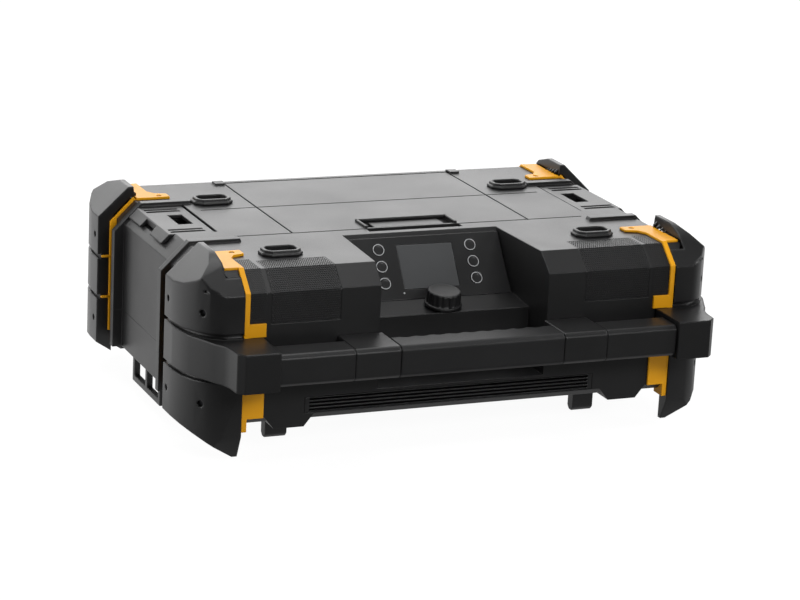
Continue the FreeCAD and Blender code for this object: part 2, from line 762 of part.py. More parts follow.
def charger_lid():
    gap = s.fit_gap
    low = s.top_z - s.lid_thick
    axis_depth, axis_z = hinge_axis()
    half = s.lid_half_x - gap
    plate = block("lid_plate", -half, half, -s.lid_front_depth + gap, axis_depth, low, s.top_z)
    roll = rod("lid_roll", s.lid_thick / 2, half * 2, (-half, axis_depth, axis_z), axis=(1, 0, 0))
    pocket = block("lid_pocket", -s.latch_half_x - s.ledge, s.latch_half_x + s.ledge,
                   -s.latch_front_depth - 2, -s.latch_front_depth + s.latch_length + s.latch_travel + 2,
                   low + 1.2, s.top_z + 1)
    slot = block("lid_slot", -s.tongue_half_x - gap, s.tongue_half_x + gap,
                 -s.latch_front_depth + s.tongue_half_x / 2 - gap,
                 -s.latch_front_depth + s.tongue_half_x + s.latch_travel + gap, low - 1, s.top_z)
    bore = rod("lid_bore", s.pin_radius, s.pin_length, (s.lid_half_x - s.pin_length / 2, axis_depth, axis_z),
               axis=(1, 0, 0))
    register("charger_lid", cut("lid", fuse("lid_blank", plate, roll), pocket, slot, bore,
                                mirror("lid_bore_left", bore, across_x=True)))
    pin = rod("hinge_pin", s.pin_radius, s.pin_length - gap, (s.lid_half_x - s.pin_length / 2, axis_depth, axis_z),
              axis=(1, 0, 0))
    register("lid_hinge_pins", group("pins", pin, mirror("hinge_pin_left", pin, across_x=True)))

    rim = half - gap
    seal_rear = s.lid_rear_depth - s.ledge
    outer = block("seal_outer", -rim, rim, -s.lid_front_depth + gap * 2, seal_rear, low - s.seal_thick, low)
    inner = block("seal_inner", -rim + s.seal_width, rim - s.seal_width,
                  -s.lid_front_depth + gap * 2 + s.seal_width, seal_rear - s.seal_width, low - 2 * s.seal_thick, low)
    register("lid_seal", cut("seal", outer, inner))

    stem_front = -s.latch_front_depth + s.tongue_half_x / 2
    stem_rear = -s.latch_front_depth + s.tongue_half_x
    ledge_low = s.top_z - s.lid_thick - s.seal_thick - gap - s.case_wall
    tab = block("latch_tab", -s.latch_half_x, s.latch_half_x, -s.latch_front_depth,
                -s.latch_front_depth + s.latch_length, low + 1.2 + gap, s.top_z - gap * 2)
    stem = block("latch_stem", -s.tongue_half_x, s.tongue_half_x, stem_front, stem_rear,
                 ledge_low - s.tongue_thick, s.top_z - s.fit_gap * 4)
    tongue = block("latch_tongue", -s.tongue_half_x, s.tongue_half_x, -s.latch_front_depth - 1, stem_rear,
                   ledge_low - gap - s.tongue_thick, ledge_low - gap)
    register("lid_latch", fuse("latch", tab, stem, tongue))


def charger_tub():
    ledge_low = s.top_z - s.lid_thick - s.seal_thick - s.fit_gap - s.case_wall
    wall = s.tub_wall
    half = s.lid_half_x - s.ledge
    front = -s.lid_front_depth + s.ledge
    rear = s.lid_rear_depth - s.ledge - wall
    outer = block("tub_outer", -half - wall, half + wall, front - wall, rear + wall, s.tub_floor_z - wall, ledge_low)
    inner = block("tub_inner", -half, half, front, rear, s.tub_floor_z, s.top_z)
    notch = block("tub_notch", -s.tongue_half_x - 2, s.tongue_half_x + 2, front - wall * 2, front + 1,
                  ledge_low - s.tongue_thick * 2, s.top_z)
    side = s.socket_side
    usb_hole = block("usb_hole", -half - wall * 2, -half + 1, 0, side, s.tub_floor_z + 10, s.tub_floor_z + 18)
    aux_hole = rod("aux_hole", side / 4, wall * 3, (-half - wall * 2, side * 2, s.tub_floor_z + 14), axis=(1, 0, 0))
    register("charger_tub", cut("tub", outer, inner, notch, usb_hole, aux_hole))
    gap = s.fit_gap
    usb_outer = block("usb_outer", -half - s.socket_deep, -half, gap, side - gap,
                      s.tub_floor_z + 10 + gap, s.tub_floor_z + 18 - gap)
    usb_inner = block("usb_inner", -half - s.socket_deep + 2, -half + 1, 1.5, side - 1.5,
                      s.tub_floor_z + 11.5, s.tub_floor_z + 16.5)
    register("usb_socket", cut("usb", usb_outer, usb_inner))
    aux_outer = rod("aux_outer", side / 4 - gap, s.socket_deep, (-half - s.socket_deep, side * 2, s.tub_floor_z + 14),
                    axis=(1, 0, 0))
    aux_inner = rod("aux_inner", side / 8, s.socket_deep, (-half - s.socket_deep + 2, side * 2, s.tub_floor_z + 14),
                    axis=(1, 0, 0))
    register("aux_socket", cut("aux", aux_outer, aux_inner))


def battery_dock():
    low = s.tub_floor_z
    high = low + s.dock_height
    rear = s.dock_front + s.dock_length
    base = block("dock_base", -s.dock_half_x, s.dock_half_x, s.dock_front, rear, low, high)
    slots = []
    for side in (-1, 1):
        near = side * s.dock_half_x - s.board_thick * 1.5
        slots.append(block(f"dock_rail_{side + 2}", near, near + s.board_thick * 3, s.dock_front - 1,
                           rear - s.ledge, high - 7, high - 4))
    blades = []
    for index in range(5):
        middle = (index - 2) * s.blade_pitch
        slots.append(block(f"blade_seat_{index + 1}", middle - s.blade_thick / 2, middle + s.blade_thick / 2,
                           rear - s.blade_length, rear - 1, high - 2, high + 1))
        blades.append(block(f"blade_{index + 1}", middle - s.blade_thick / 2, middle + s.blade_thick / 2,
                            rear - s.blade_length, rear - 1, high - 2, high + s.blade_height))
    register("battery_dock", cut("dock", base, *slots))
    register("dock_terminals", group("terminals", *blades))


def speakers():
    gap = s.fit_gap
    skin = grille_space("grille_skin", s.grille_thick, gap)
    register("speaker_grille_right", skin)
    register("speaker_grille_left", mirror("grille_skin_left", skin, across_x=True))
    wall = s.case_wall
    low_depth = s.front_depth - wall
    high = s.top_z - wall
    thick = wall * math.sqrt(2)
    outline = [
        (-low_depth, s.baffle_sum - low_depth),
        (high - s.baffle_sum, high),
        (high - s.baffle_sum + thick, high),
        (-low_depth, s.baffle_sum - low_depth - thick),
    ]
    plate = prism("baffle_plate", "YZ", outline, s.speaker_inner_x - wall, s.speaker_outer_x + wall)
    middle_x = (s.speaker_inner_x + s.speaker_outer_x) / 2
    middle_y = (high - s.baffle_sum - low_depth) / 2
    middle_z = middle_y + s.baffle_sum
    lean = Size("(45.0)", 45.0)

    def on_axis(rise):
        step = rise * (math.sqrt(2) / 2)
        return (middle_x, middle_y - step, middle_z + step)

    hole = rod("baffle_hole", s.driver_hole + gap, wall * 6, on_axis(-wall * 3), tilt=lean)
    baffle = cut("baffle", plate, hole)
    register("speaker_baffle_right", baffle)
    register("speaker_baffle_left", mirror("baffle_left", baffle, across_x=True))
    flange = rod("driver_flange", s.driver_radius, wall, on_axis(0), tilt=lean)
    basket = rod("driver_basket", s.driver_hole, wall * 4, on_axis(-wall * 4), tilt=lean)
    magnet = rod("driver_magnet", s.magnet_radius, wall * 4, on_axis(-wall * 8), tilt=lean)
    bowl = rod("driver_bowl", s.driver_hole - wall, wall * 3, on_axis(-wall), tilt=lean)
    driver = cut("driver", fuse("driver_blank", flange, basket, magnet), bowl)
    register("speaker_driver_right", driver)
    register("speaker_driver_left", mirror("driver_left", driver, across_x=True))


def bar_profile(name, left, right, back):
    bevel = s.bar_bevel
    outline = [
        (-s.bar_front_depth, s.bar_low_z + bevel), (-s.bar_front_depth, s.bar_top_z - bevel),
        (-s.bar_front_depth + bevel, s.bar_top_z), (-back, s.bar_top_z),
        (-back, s.bar_low_z), (-s.bar_front_depth + bevel, s.bar_low_z),
    ]
    return prism(name, "YZ", outline, left, right)


def handle_bar():
    gap = s.fit_gap
    bracket = bar_profile("bracket", s.grip_half_x + gap, s.bracket_x, s.front_depth)
    register("bar_bracket_right", bracket)
    register("bar_bracket_left", mirror("bracket_left", bracket, across_x=True))
    outer = bar_profile("outer_bar", s.bracket_x, s.bar_end_x - gap, s.bar_back_depth)
    register("front_bar_right", outer)
    register("front_bar_left", mirror("outer_bar_left", outer, across_x=True))
    grip = bar_profile("grip_run", -s.grip_half_x, s.grip_half_x, s.bar_back_depth)
    scallops = []
    count = round(s.grip_waves.value)
    pitch = s.grip_half_x * 2 / (count + 1)
    for index in range(count):
        middle = -s.grip_half_x + pitch * (index + 1)
        scallops.append(rod(f"scallop_{index + 1}", pitch * 0.6, s.bumper_x,
                            (middle, -s.bar_back_depth + pitch * 0.6 - s.wave_depth, s.floor_z)))
    register("handle_grip", cut("grip", grip, *scallops))


def bumper_outline(inset):
    """Plan of a bumper's outside at the rear right corner."""
    side = s.bumper_x - inset
    depth = s.bumper_depth - inset
    return [(side, s.loop_half_depth), (side, depth - 45), (side - 2.5, depth - 29), (side - 8, depth - 16),
            (side - 16, depth - 6), (side - 26, depth), (s.grip_half_x, depth), (s.grip_half_x, s.loop_half_depth)]


def bumper_core(name):
    """Rear right bumper before its grooves and screw recesses."""
    gap = s.fit_gap
    edge = s.bumper_edge_depth
    inner = corner_outline(s.liner_thick + gap)
    side_end = (s.side_x + s.liner_thick + gap, edge)
    wrap_outline = [inner[1], inner[2], inner[3], side_end, (s.bumper_x + 5, edge),
                    (s.bumper_x + 5, s.bumper_depth + 5), (s.bumper_inner_x, s.bumper_depth + 5)]
    wrap_outline[0] = (s.bumper_inner_x, inner[1][1])
    wrap = prism(name + "_wrap", "XY", wrap_outline, s.tip_z, s.bumper_shoulder_z)
    slope_in = s.liner_thick + gap
    chamfer_x = s.side_x - s.side_chamfer
    fin_outline = [
        (s.bumper_x + 5, s.bumper_shoulder_z - 6), (s.bumper_x + 5, s.fin_top_z),
        (s.fin_x - s.fin_thick, s.fin_top_z), (s.fin_x - s.fin_thick - 1, s.top_z + slope_in),
        (chamfer_x + slope_in, s.top_z + slope_in),
        (s.side_x + slope_in, s.top_z - s.side_chamfer + slope_in), (s.side_x + slope_in, s.bumper_shoulder_z - 6),
    ]
    fin = prism(name + "_fin", "XZ", fin_outline, edge, s.bumper_depth + 5)
    front_wall = prism(name + "_front", "XY",
                       [(s.bumper_inner_x, inner[1][1]), (s.fin_x, inner[1][1]), (s.fin_x, s.bumper_depth + 5),
                        (s.bumper_inner_x, s.bumper_depth + 5)], s.tip_z, s.fin_top_z)
    blank = fuse(name + "_blank", wrap, fin, front_wall)
    plan = prism(name + "_plan", "XY", bumper_outline(as_size(0)), 0, s.fin_top_z + 5)
    side = prism(name + "_side", "XZ", [
        (s.grip_half_x, s.tip_z), (s.tip_x, s.tip_z), (s.bumper_x, s.bumper_low_z),
        (s.bumper_x, s.bumper_shoulder_z), (s.fin_x, s.fin_top_z), (s.grip_half_x, s.fin_top_z)],
        0, s.bumper_depth + 5)
    front = prism(name + "_end", "YZ", [
        (0, s.tip_z), (s.bumper_depth - 8, s.tip_z), (s.bumper_depth, s.bumper_low_z - 6),
        (s.bumper_depth, s.bumper_shoulder_z - 2), (s.fold_depth - 2, s.fin_top_z - 5),
        (s.fold_depth - s.fin_run, s.fin_top_z), (0, s.fin_top_z)], 0, s.bumper_x + 5)
    return common(name, blank, plan, side, front)


def bumper_cuts(name):
    """Grooves between the segments and screw recesses, at the rear right."""
    tools = []
    inset = prism(name + "_inset", "XY", bumper_outline(s.groove_deep), 0, s.fin_top_z)
    for index, middle in enumerate((s.groove_low_z, s.groove_high_z)):
        half = s.groove_height / 2
        slab = block(f"{name}_slab_{index + 1}", s.grip_half_x, s.bumper_x + 5, s.loop_half_depth,
                     s.bumper_depth + 5, middle - half, middle + half)
        tools.append(cut(f"{name}_groove_{index + 1}", slab, inset))
    for index, (base, axis) in enumerate(screw_places()):
        tools.append(rod(f"{name}_recess_{index + 1}", s.screw_hole, s.screw_length + s.screw_sink + 2,
                         base, axis=axis))
    return tools


def screw_places():
    """Inner end of each bumper screw at the rear right, and its axis."""
    slant = math.sqrt(0.5)
    places = []
    for height in (s.screw_low_z, s.screw_high_z):
        places.append(((s.bumper_x - s.screw_sink - s.screw_length, s.bumper_edge_depth + 8, height), (1, 0, 0)))
        reach = (s.screw_sink + s.screw_length) * slant
        places.append(((s.bumper_x - 12 - reach, s.bumper_depth - 11 - reach, height), (1, 1, 0)))
    return places


def bumpers():
    rear_core = bumper_core("bumper_rear")
    rear = cut("rear_bumper", rear_core, *bumper_cuts("rear_cut"))
    register("bumper_rear_right", rear)
    register("bumper_rear_left", mirror("bumper_rl", rear, across_x=True))
    gap = s.fit_gap
    behind = s.front_depth + s.liner_thick + gap
    cap_outline = [
        (s.bumper_x, s.bumper_edge_depth), (s.bumper_x, s.bumper_edge_depth + 17),
        (s.bumper_x - 1.5, s.bumper_edge_depth + 32), (s.bumper_x - 5, s.bumper_edge_depth + 45),
        (s.bumper_x - 12, s.front_depth), (s.cap_x + 8, s.front_depth + 9), (s.cap_x + 3, s.front_depth + 17),
        (s.cap_x + 1, s.cap_depth - 17),
        (s.cap_x, s.cap_depth - 5), (s.cap_x - 5, s.cap_depth), (s.bar_end_x, s.cap_depth),
        (s.bar_end_x, behind), (s.bumper_inner_x, behind), (s.bumper_inner_x, s.corner_depth + s.liner_thick + gap),
        (s.side_x + s.liner_thick + gap - s.corner_chamfer_x, s.corner_depth + s.liner_thick + gap),
        (s.side_x + s.liner_thick + gap, s.corner_depth + s.liner_thick + gap - s.corner_chamfer_depth),
        (s.side_x + s.liner_thick + gap, s.bumper_edge_depth),
    ]
    cap = prism("bumper_cap", "XY", cap_outline, s.cap_low_z, s.cap_high_z)
    grooved = cut("front_grooved", bumper_core("bumper_front"), *bumper_cuts("front_cut"))
    front_core = fuse("bumper_front_core", grooved, cap)
    front_right = mirror("bumper_fr", front_core, across_y=True)
    register("bumper_front_right", front_right)
    register("bumper_front_left", mirror("bumper_fl", front_right, across_x=True))
    screws = []
    for index, (base, axis) in enumerate(screw_places()):
        screws.append(rod(f"bumper_screw_{index + 1}", s.screw_radius, s.screw_length, base, axis=axis))
    corner = group("corner_screws", *screws)
    register("bumper_screws", group("all_bumper_screws", *four_corners("corner_screws_at", corner)))


def corner_liners():
    """Yellow liners between the case corners and the bumpers, at the rear right first."""
    thick = s.liner_thick
    inner = corner_outline(as_size(0))
    outer = corner_outline(thick)
    edge = s.bumper_edge_depth - thick - s.fit_gap
    reach = s.bumper_inner_x - s.fit_gap
    skin = s.front_depth + thick
    wrap = prism("liner_wrap", "XY", [
        (s.corner_x, skin), (reach, skin), (reach, outer[1][1]), outer[2], outer[3],
        (s.side_x + thick, edge), (s.side_x, edge), inner[3], inner[2], inner[1]],
        s.liner_low_z, s.shoulder_z - 1)
    slope = (s.top_z - s.shoulder_z) / (s.front_depth - s.fold_depth)
    on_fold = s.top_z - (s.corner_depth - s.fold_depth) * slope
    bend = prism("liner_bend", "YZ", [
        (s.fold_depth - 5, s.top_z), (s.fold_depth - 5, s.top_z + thick), (s.fold_depth + thick * 0.4, s.top_z + thick),
        (skin, s.shoulder_z + thick * 0.4), (skin, s.shoulder_z - 4), (s.corner_depth, s.shoulder_z - 4),
        (s.corner_depth, on_fold), (s.fold_depth, s.top_z)], s.corner_x, reach)
    tongue_front = s.bumper_edge_depth + 7
    fin_clear = s.side_x - s.side_chamfer - thick
    tongue = prism("liner_tongue", "XY", [
        (s.tongue_tip_x, s.bumper_edge_depth - 3), (s.tongue_tip_x, tongue_front), (s.corner_x - 4, tongue_front + 3),
        (s.corner_x, tongue_front + 10), (s.corner_x, s.fold_depth), (fin_clear, s.fold_depth),
        (fin_clear, s.bumper_edge_depth - 3)], s.top_z, s.top_z + thick)
    window = block("liner_window", s.window_x, s.corner_x, s.front_depth, skin, s.window_low_z, s.window_high_z)
    post = block("liner_post", s.window_x, s.corner_x, s.front_depth, skin, s.floor_z + s.floor_chamfer, s.post_high_z)
    screw_at = (s.tongue_tip_x + 8, s.bumper_edge_depth + 2, s.top_z)
    hole = rod("liner_hole", s.screw_radius, thick * 2, screw_at)
    liner = cut("liner", fuse("liner_blank", wrap, bend, tongue, window, post), hole)
    names = ("rear_right", "rear_left", "front_right", "front_left")
    for name, item in zip(names, four_corners("liner_at", liner)):
        register(f"corner_liner_{name}", item)
    screw = rod("liner_screw", s.screw_radius - s.fit_gap, thick * 0.6, screw_at)
    register("liner_screws", group("all_liner_screws", *four_corners("liner_screw_at", screw)))


def octagon(half_x, half_depth, at_x, at_depth, bevel):
    return [
        (at_x - half_x, at_depth - half_depth + bevel), (at_x - half_x + bevel, at_depth - half_depth),
        (at_x + half_x - bevel, at_depth - half_depth), (at_x + half_x, at_depth - half_depth + bevel),
        (at_x + half_x, at_depth + half_depth - bevel), (at_x + half_x - bevel, at_depth + half_depth),
        (at_x - half_x + bevel, at_depth + half_depth), (at_x - half_x, at_depth + half_depth - bevel),
    ]


def stacking_bosses_and_feet():
    bosses = []
    feet = []
    for name, depth in (("front", -s.boss_front_depth), ("rear", s.boss_rear_depth)):
        half_x = s.boss_half_x
        half_depth = s.boss_half_depth
        step = s.boss_step
        base_z = s.top_z
        lower = prism(f"boss_{name}_base", "XY", octagon(half_x, half_depth, s.boss_x, depth, 6), base_z,
                      base_z + s.boss_tier)
        upper = prism(f"boss_{name}_top", "XY", octagon(half_x - step, half_depth - step, s.boss_x, depth, 5),
                      base_z + s.boss_tier, base_z + s.boss_tier * 2)
        wall = s.boss_wall
        hollow = prism(f"boss_{name}_hollow", "XY", octagon(half_x - wall, half_depth - wall, s.boss_x, depth, 3),
                       base_z, base_z + s.boss_tier * 3)
        boss = cut(f"boss_{name}", fuse(f"boss_{name}_ring", lower, upper), hollow)
        bosses += [boss, mirror(f"boss_{name}_left", boss, across_x=True)]
        foot = prism(f"foot_{name}", "YZ", [
            (depth - s.foot_half_depth, s.foot_chamfer), (depth - s.foot_half_depth, s.floor_z),
            (depth + s.foot_half_depth, s.floor_z), (depth + s.foot_half_depth, s.foot_chamfer),
            (depth + s.foot_half_depth - s.foot_chamfer, 0), (depth - s.foot_half_depth + s.foot_chamfer, 0)],
            s.boss_x - s.foot_half_x, s.boss_x + s.foot_half_x)
        feet += [foot, mirror(f"foot_{name}_left", foot, across_x=True)]
    register("stacking_bosses", group("all_bosses", *bosses))
    register("feet", group("all_feet", *feet))


def side_latches():
    top = s.top_z - s.plate_drop
    low = s.top_z - s.pocket_drop
    thick = s.plate_thick
    bend = top - low
    outline = [
        (s.plate_inner_x, low), (s.plate_inner_x, top), (s.plate_outer_x - bend, top), (s.plate_outer_x, low),
        (s.plate_outer_x - thick - 1, low), (s.plate_outer_x - bend - 1, top - thick),
        (s.plate_inner_x + thick, top - thick), (s.plate_inner_x + thick, low),
    ]
    plate = prism("side_plate", "XZ", outline, -s.plate_front_depth, s.plate_rear_depth)
    middle = (s.plate_rear_depth - s.plate_front_depth) / 2
    above = s.top_z + thick
    hole = block("plate_hole", s.hole_inner_x, s.hole_outer_x, middle - 14, middle + 15, low, above)
    tools = [hole]
    for index, depth in enumerate((-s.plate_front_depth + 6, -s.plate_front_depth + 12,
                                   s.plate_rear_depth - 14, s.plate_rear_depth - 8)):
        tools.append(block(f"plate_slit_{index + 1}", s.hole_inner_x, s.hole_outer_x + 12,
                           depth, depth + 2, low, above))
    tools.append(block("plate_side_slot", s.plate_outer_x - bend + 1, s.side_x,
                       middle - 12, middle + 12, low, above))
    right = cut("plate", plate, *tools)
    register("side_latch_plate_right", right)
    register("side_latch_plate_left", mirror("plate_left", right, across_x=True))
    half = s.loop_half_depth
    outer = block("loop_outer", s.loop_x, s.loop_x + s.loop_bar, -half, half, s.loop_low_z, s.floor_z)
    spaces = []
    for index, (near, far) in enumerate(((-half + s.loop_bar, -s.loop_bar / 2), (s.loop_bar / 2, half - s.loop_bar))):
        spaces.append(block(f"loop_space_{index + 1}", s.loop_x - 1, s.side_x + 1, near, far,
                            s.loop_low_z + s.loop_bar, s.floor_z))
    loop = cut("loop", outer, *spaces)
    register("side_loop_right", loop)
    register("side_loop_left", mirror("loop_left", loop, across_x=True))


def vent_grille():
    gap = s.fit_gap
    front = s.front_depth
    plate = block("vent_plate", -s.vent_left_x + gap, s.vent_right_x - gap, -front, -front + s.case_wall,
                  s.vent_low_z + gap, s.vent_high_z - gap)
    slots = []
    count = round(s.vent_slots.value)
    pitch = (s.vent_high_z - s.vent_low_z) / (count + 0.5)
    for index in range(count):
        low = s.vent_low_z + pitch * (index + 0.5)
        slots.append(block(f"vent_slot_{index + 1}", -s.vent_left_x + 4, s.vent_right_x - 4, -front - 1,
                           -front + s.case_wall + 1, low, low + s.vent_slot))
    register("vent_grille", cut("vent", plate, *slots))


def inside_parts():
    floor = s.floor_z + s.case_wall
    board = block("board", -s.board_half_x, s.board_half_x, -s.board_front, s.board_rear, s.main_board_z,
                  s.main_board_z + s.board_thick)
    register("main_circuit_board", board)
    posts = []
    inset = s.standoff_radius * 2
    for side in (-1, 1):
        for index, depth in enumerate((-s.board_front + inset, s.board_rear - inset)):
            posts.append(rod(f"standoff_{side + 2}_{index + 1}", s.standoff_radius, s.main_board_z - floor,
                             (side * (s.board_half_x - inset), depth, floor)))
    register("board_standoffs", group("standoffs", *posts))
    supply = block("supply", -s.supply_x / 2, s.supply_x / 2, s.board_front, s.board_front + s.supply_depth,
                   floor, floor + s.supply_height)
    register("power_supply", supply)
    wall = s.inlet_wall
    gap = s.fit_gap
    outer = block("inlet_outer", s.inlet_x - s.inlet_half_x + gap, s.inlet_x + s.inlet_half_x - gap,
                  s.front_depth - s.inlet_deep, s.front_depth, s.inlet_low_z + gap, s.inlet_high_z - gap)
    inner = block("inlet_inner", s.inlet_x - s.inlet_half_x + wall, s.inlet_x + s.inlet_half_x - wall,
                  s.front_depth - s.inlet_deep + wall, s.front_depth + 1, s.inlet_low_z + wall, s.inlet_high_z - wall)
    inlet = cut("inlet_shell", outer, inner)
    middle_z = (s.inlet_low_z + s.inlet_high_z) / 2
    prongs = []
    for side in (-1, 1):
        prongs.append(rod(f"prong_{side + 2}", s.screw_radius / 2, s.inlet_deep - wall - 2,
                          (s.inlet_x + side * 4, s.front_depth - s.inlet_deep + wall / 2, middle_z), axis=(0, 1, 0)))
    register("mains_inlet", fuse("inlet", inlet, *prongs))
    strip = block("antenna_strip", -s.antenna_length / 2, s.antenna_length / 2,
                  s.front_depth - s.case_wall - s.board_thick, s.front_depth - s.case_wall,
                  s.split_z + s.case_wall, s.split_z + s.case_wall + s.antenna_width)
    register("antenna_board", strip)
    register("case_screws", group("all_case_screws", *case_screw_rods("case_screw")))


def write_steps():
    doc.recompute()
    failed = [item.Name for item in doc.Objects if "Invalid" in item.State or "Error" in item.State]
    if failed:
        raise RuntimeError(f"did not build: {failed}")
    os.makedirs("parts", exist_ok=True)
    for item in sub_parts:
        if item.Shape.isNull() or not item.Shape.isValid():
            raise RuntimeError(f"{item.Label} has no valid shape")
        if not item.Shape.Solids:
            raise RuntimeError(f"{item.Label} holds no solid")
    for item in sub_parts:
        item.Shape.exportStep(f"parts/{item.Label}.step")
        box = item.Shape.BoundBox
        print(f"{item.Label}: {len(item.Shape.Solids)} solids, volume {item.Shape.Volume:.0f}, "
              f"x {box.XMin:.1f} {box.XMax:.1f}, y {box.YMin:.1f} {box.YMax:.1f}, z {box.ZMin:.1f} {box.ZMax:.1f}")
    print(f"{len(sub_parts)} sub-parts")


upper_housing()
lower_housing()
control_panel()
preset_buttons()
display()
tuning_knob()
charger_lid()
charger_tub()
battery_dock()
speakers()
handle_bar()
bumpers()
corner_liners()
stacking_bosses_and_feet()
side_latches()
vent_grille()
inside_parts()
write_steps()
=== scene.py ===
import bmesh
import bpy
import json
import math
from mathutils import Matrix, Vector


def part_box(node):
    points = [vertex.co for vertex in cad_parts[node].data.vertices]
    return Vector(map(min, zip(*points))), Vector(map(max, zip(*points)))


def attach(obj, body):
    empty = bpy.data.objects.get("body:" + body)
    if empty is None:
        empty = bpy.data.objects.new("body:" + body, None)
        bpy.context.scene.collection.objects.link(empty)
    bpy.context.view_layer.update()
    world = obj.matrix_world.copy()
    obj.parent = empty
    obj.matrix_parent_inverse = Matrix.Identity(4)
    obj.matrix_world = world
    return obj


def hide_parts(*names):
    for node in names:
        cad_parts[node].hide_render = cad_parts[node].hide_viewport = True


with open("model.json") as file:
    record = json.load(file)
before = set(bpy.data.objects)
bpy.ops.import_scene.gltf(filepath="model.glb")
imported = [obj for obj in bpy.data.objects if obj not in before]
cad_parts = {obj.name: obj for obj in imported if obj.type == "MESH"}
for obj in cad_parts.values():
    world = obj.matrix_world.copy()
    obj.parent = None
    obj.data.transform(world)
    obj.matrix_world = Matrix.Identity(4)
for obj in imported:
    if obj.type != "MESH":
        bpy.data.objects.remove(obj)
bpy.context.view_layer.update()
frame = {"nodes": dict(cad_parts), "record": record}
record = frame["record"]

caseMidY = (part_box("upper_housing")[0].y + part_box("upper_housing")[1].y) / 2
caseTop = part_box("charger_lid")[1].z
frameMm = 0.001


def fromCase(x, depth, z):
    # place given in millimetres, with depth counted from the middle of the case
    return Vector((x * frameMm, caseMidY + depth * frameMm, z * frameMm))


# camera at the photograph's angle
cameraView = {
    "place": (-847.0, -1970.3, 691.8),
    "right": (0.921473, -0.385416, 0.048392),
    "down": (-0.064038, -0.273604, -0.959708),
    "forward": (0.383127, 0.881247, -0.276800),
    "lens": 123.76,
    "sensor": 36.0,
    "clip": (0.05, 50.0),
}


def makeCamera(view):
    data = bpy.data.cameras.new("photoCamera")
    data.lens = view["lens"]
    data.sensor_width = view["sensor"]
    data.clip_start, data.clip_end = view["clip"]
    camera = bpy.data.objects.new("photoCamera", data)
    bpy.context.scene.collection.objects.link(camera)
    right = Vector(view["right"])
    up = -Vector(view["down"])
    back = -Vector(view["forward"])
    turn = Matrix((right, up, back)).transposed()
    camera.matrix_world = Matrix.Translation(fromCase(*view["place"])) @ turn.to_4x4()
    bpy.context.scene.camera = camera


makeCamera(cameraView)
bpy.context.scene.view_settings.view_transform = "Standard"
print("camera ready")


# noise scales and the spread of roughness that all the plastics share
plasticLook = {"broadScale": 14, "broadDetail": 4, "grainDetail": 2, "roughLess": 0.06, "roughMore": 0.08}
# metal: streak noise, brightening and spread of roughness, then the bump's strength, depth and edge
metalLook = {"streakScale": 700, "streakDetail": 2, "lift": 1.25, "roughLess": 0.08, "roughMore": 0.1,
             "bump": 0.1, "deep": 0.0002, "edge": 0.0003}
boardLook = {"tracks": 120, "dark": (0.01, 0.09, 0.03, 1), "pale": (0.02, 0.14, 0.05, 1),
             "copper": (0.25, 0.2, 0.08, 1), "rough": 0.4}


# node helpers for the materials
def newMaterial(name):
    material = bpy.data.materials.new(name)
    material.use_nodes = True
    tree = material.node_tree
    shader = tree.nodes["Principled BSDF"]
    place = tree.nodes.new("ShaderNodeTexCoord")
    return material, tree, shader, place.outputs["Object"]


def noise(tree, place, scale, detail=3.0, rough=0.55):
    node = tree.nodes.new("ShaderNodeTexNoise")
    node.inputs["Scale"].default_value = scale
    node.inputs["Detail"].default_value = detail
    node.inputs["Roughness"].default_value = rough
    tree.links.new(place, node.inputs["Vector"])
    return node.outputs["Fac"]


def blendColour(tree, factor, first, second, low=0.35, high=0.65):
    ramp = tree.nodes.new("ShaderNodeValToRGB")
    ramp.color_ramp.elements[0].position = low
    ramp.color_ramp.elements[0].color = (*first, 1)
    ramp.color_ramp.elements[1].position = high
    ramp.color_ramp.elements[1].color = (*second, 1)
    tree.links.new(factor, ramp.inputs["Fac"])
    return ramp.outputs["Color"]


def remap(tree, factor, low, high):
    node = tree.nodes.new("ShaderNodeMapRange")
    node.inputs["To Min"].default_value = low
    node.inputs["To Max"].default_value = high
    tree.links.new(factor, node.inputs["Value"])
    return node.outputs["Result"]


def surfaceBump(tree, height, strength, distance, edge):
    # rounded edges first, then the texture on top of them
    rounding = tree.nodes.new("ShaderNodeBevel")
    rounding.samples = 6
    rounding.inputs["Radius"].default_value = edge
    bump = tree.nodes.new("ShaderNodeBump")
    bump.inputs["Strength"].default_value = strength
    bump.inputs["Distance"].default_value = distance
    tree.links.new(rounding.outputs["Normal"], bump.inputs["Normal"])
    tree.links.new(height, bump.inputs["Height"])
    return bump.outputs["Normal"]


def mouldedPlastic(name, settings):
    material, tree, shader, place = newMaterial(name)
    broad = noise(tree, place, plasticLook["broadScale"], plasticLook["broadDetail"])
    grain = noise(tree, place, settings["grain"], plasticLook["grainDetail"])
    shade = settings["colour"]
    pale = tuple(min(1.0, value * settings["lift"]) for value in shade)
    tree.links.new(blendColour(tree, broad, shade, pale), shader.inputs["Base Color"])
    smooth = settings["rough"] - plasticLook["roughLess"]
    matt = settings["rough"] + plasticLook["roughMore"]
    tree.links.new(remap(tree, broad, smooth, matt), shader.inputs["Roughness"])
    tree.links.new(surfaceBump(tree, grain, settings["bump"], settings["deep"], settings["edge"]),
                   shader.inputs["Normal"])
    shader.inputs["Specular IOR Level"].default_value = settings["gloss"]
    return material


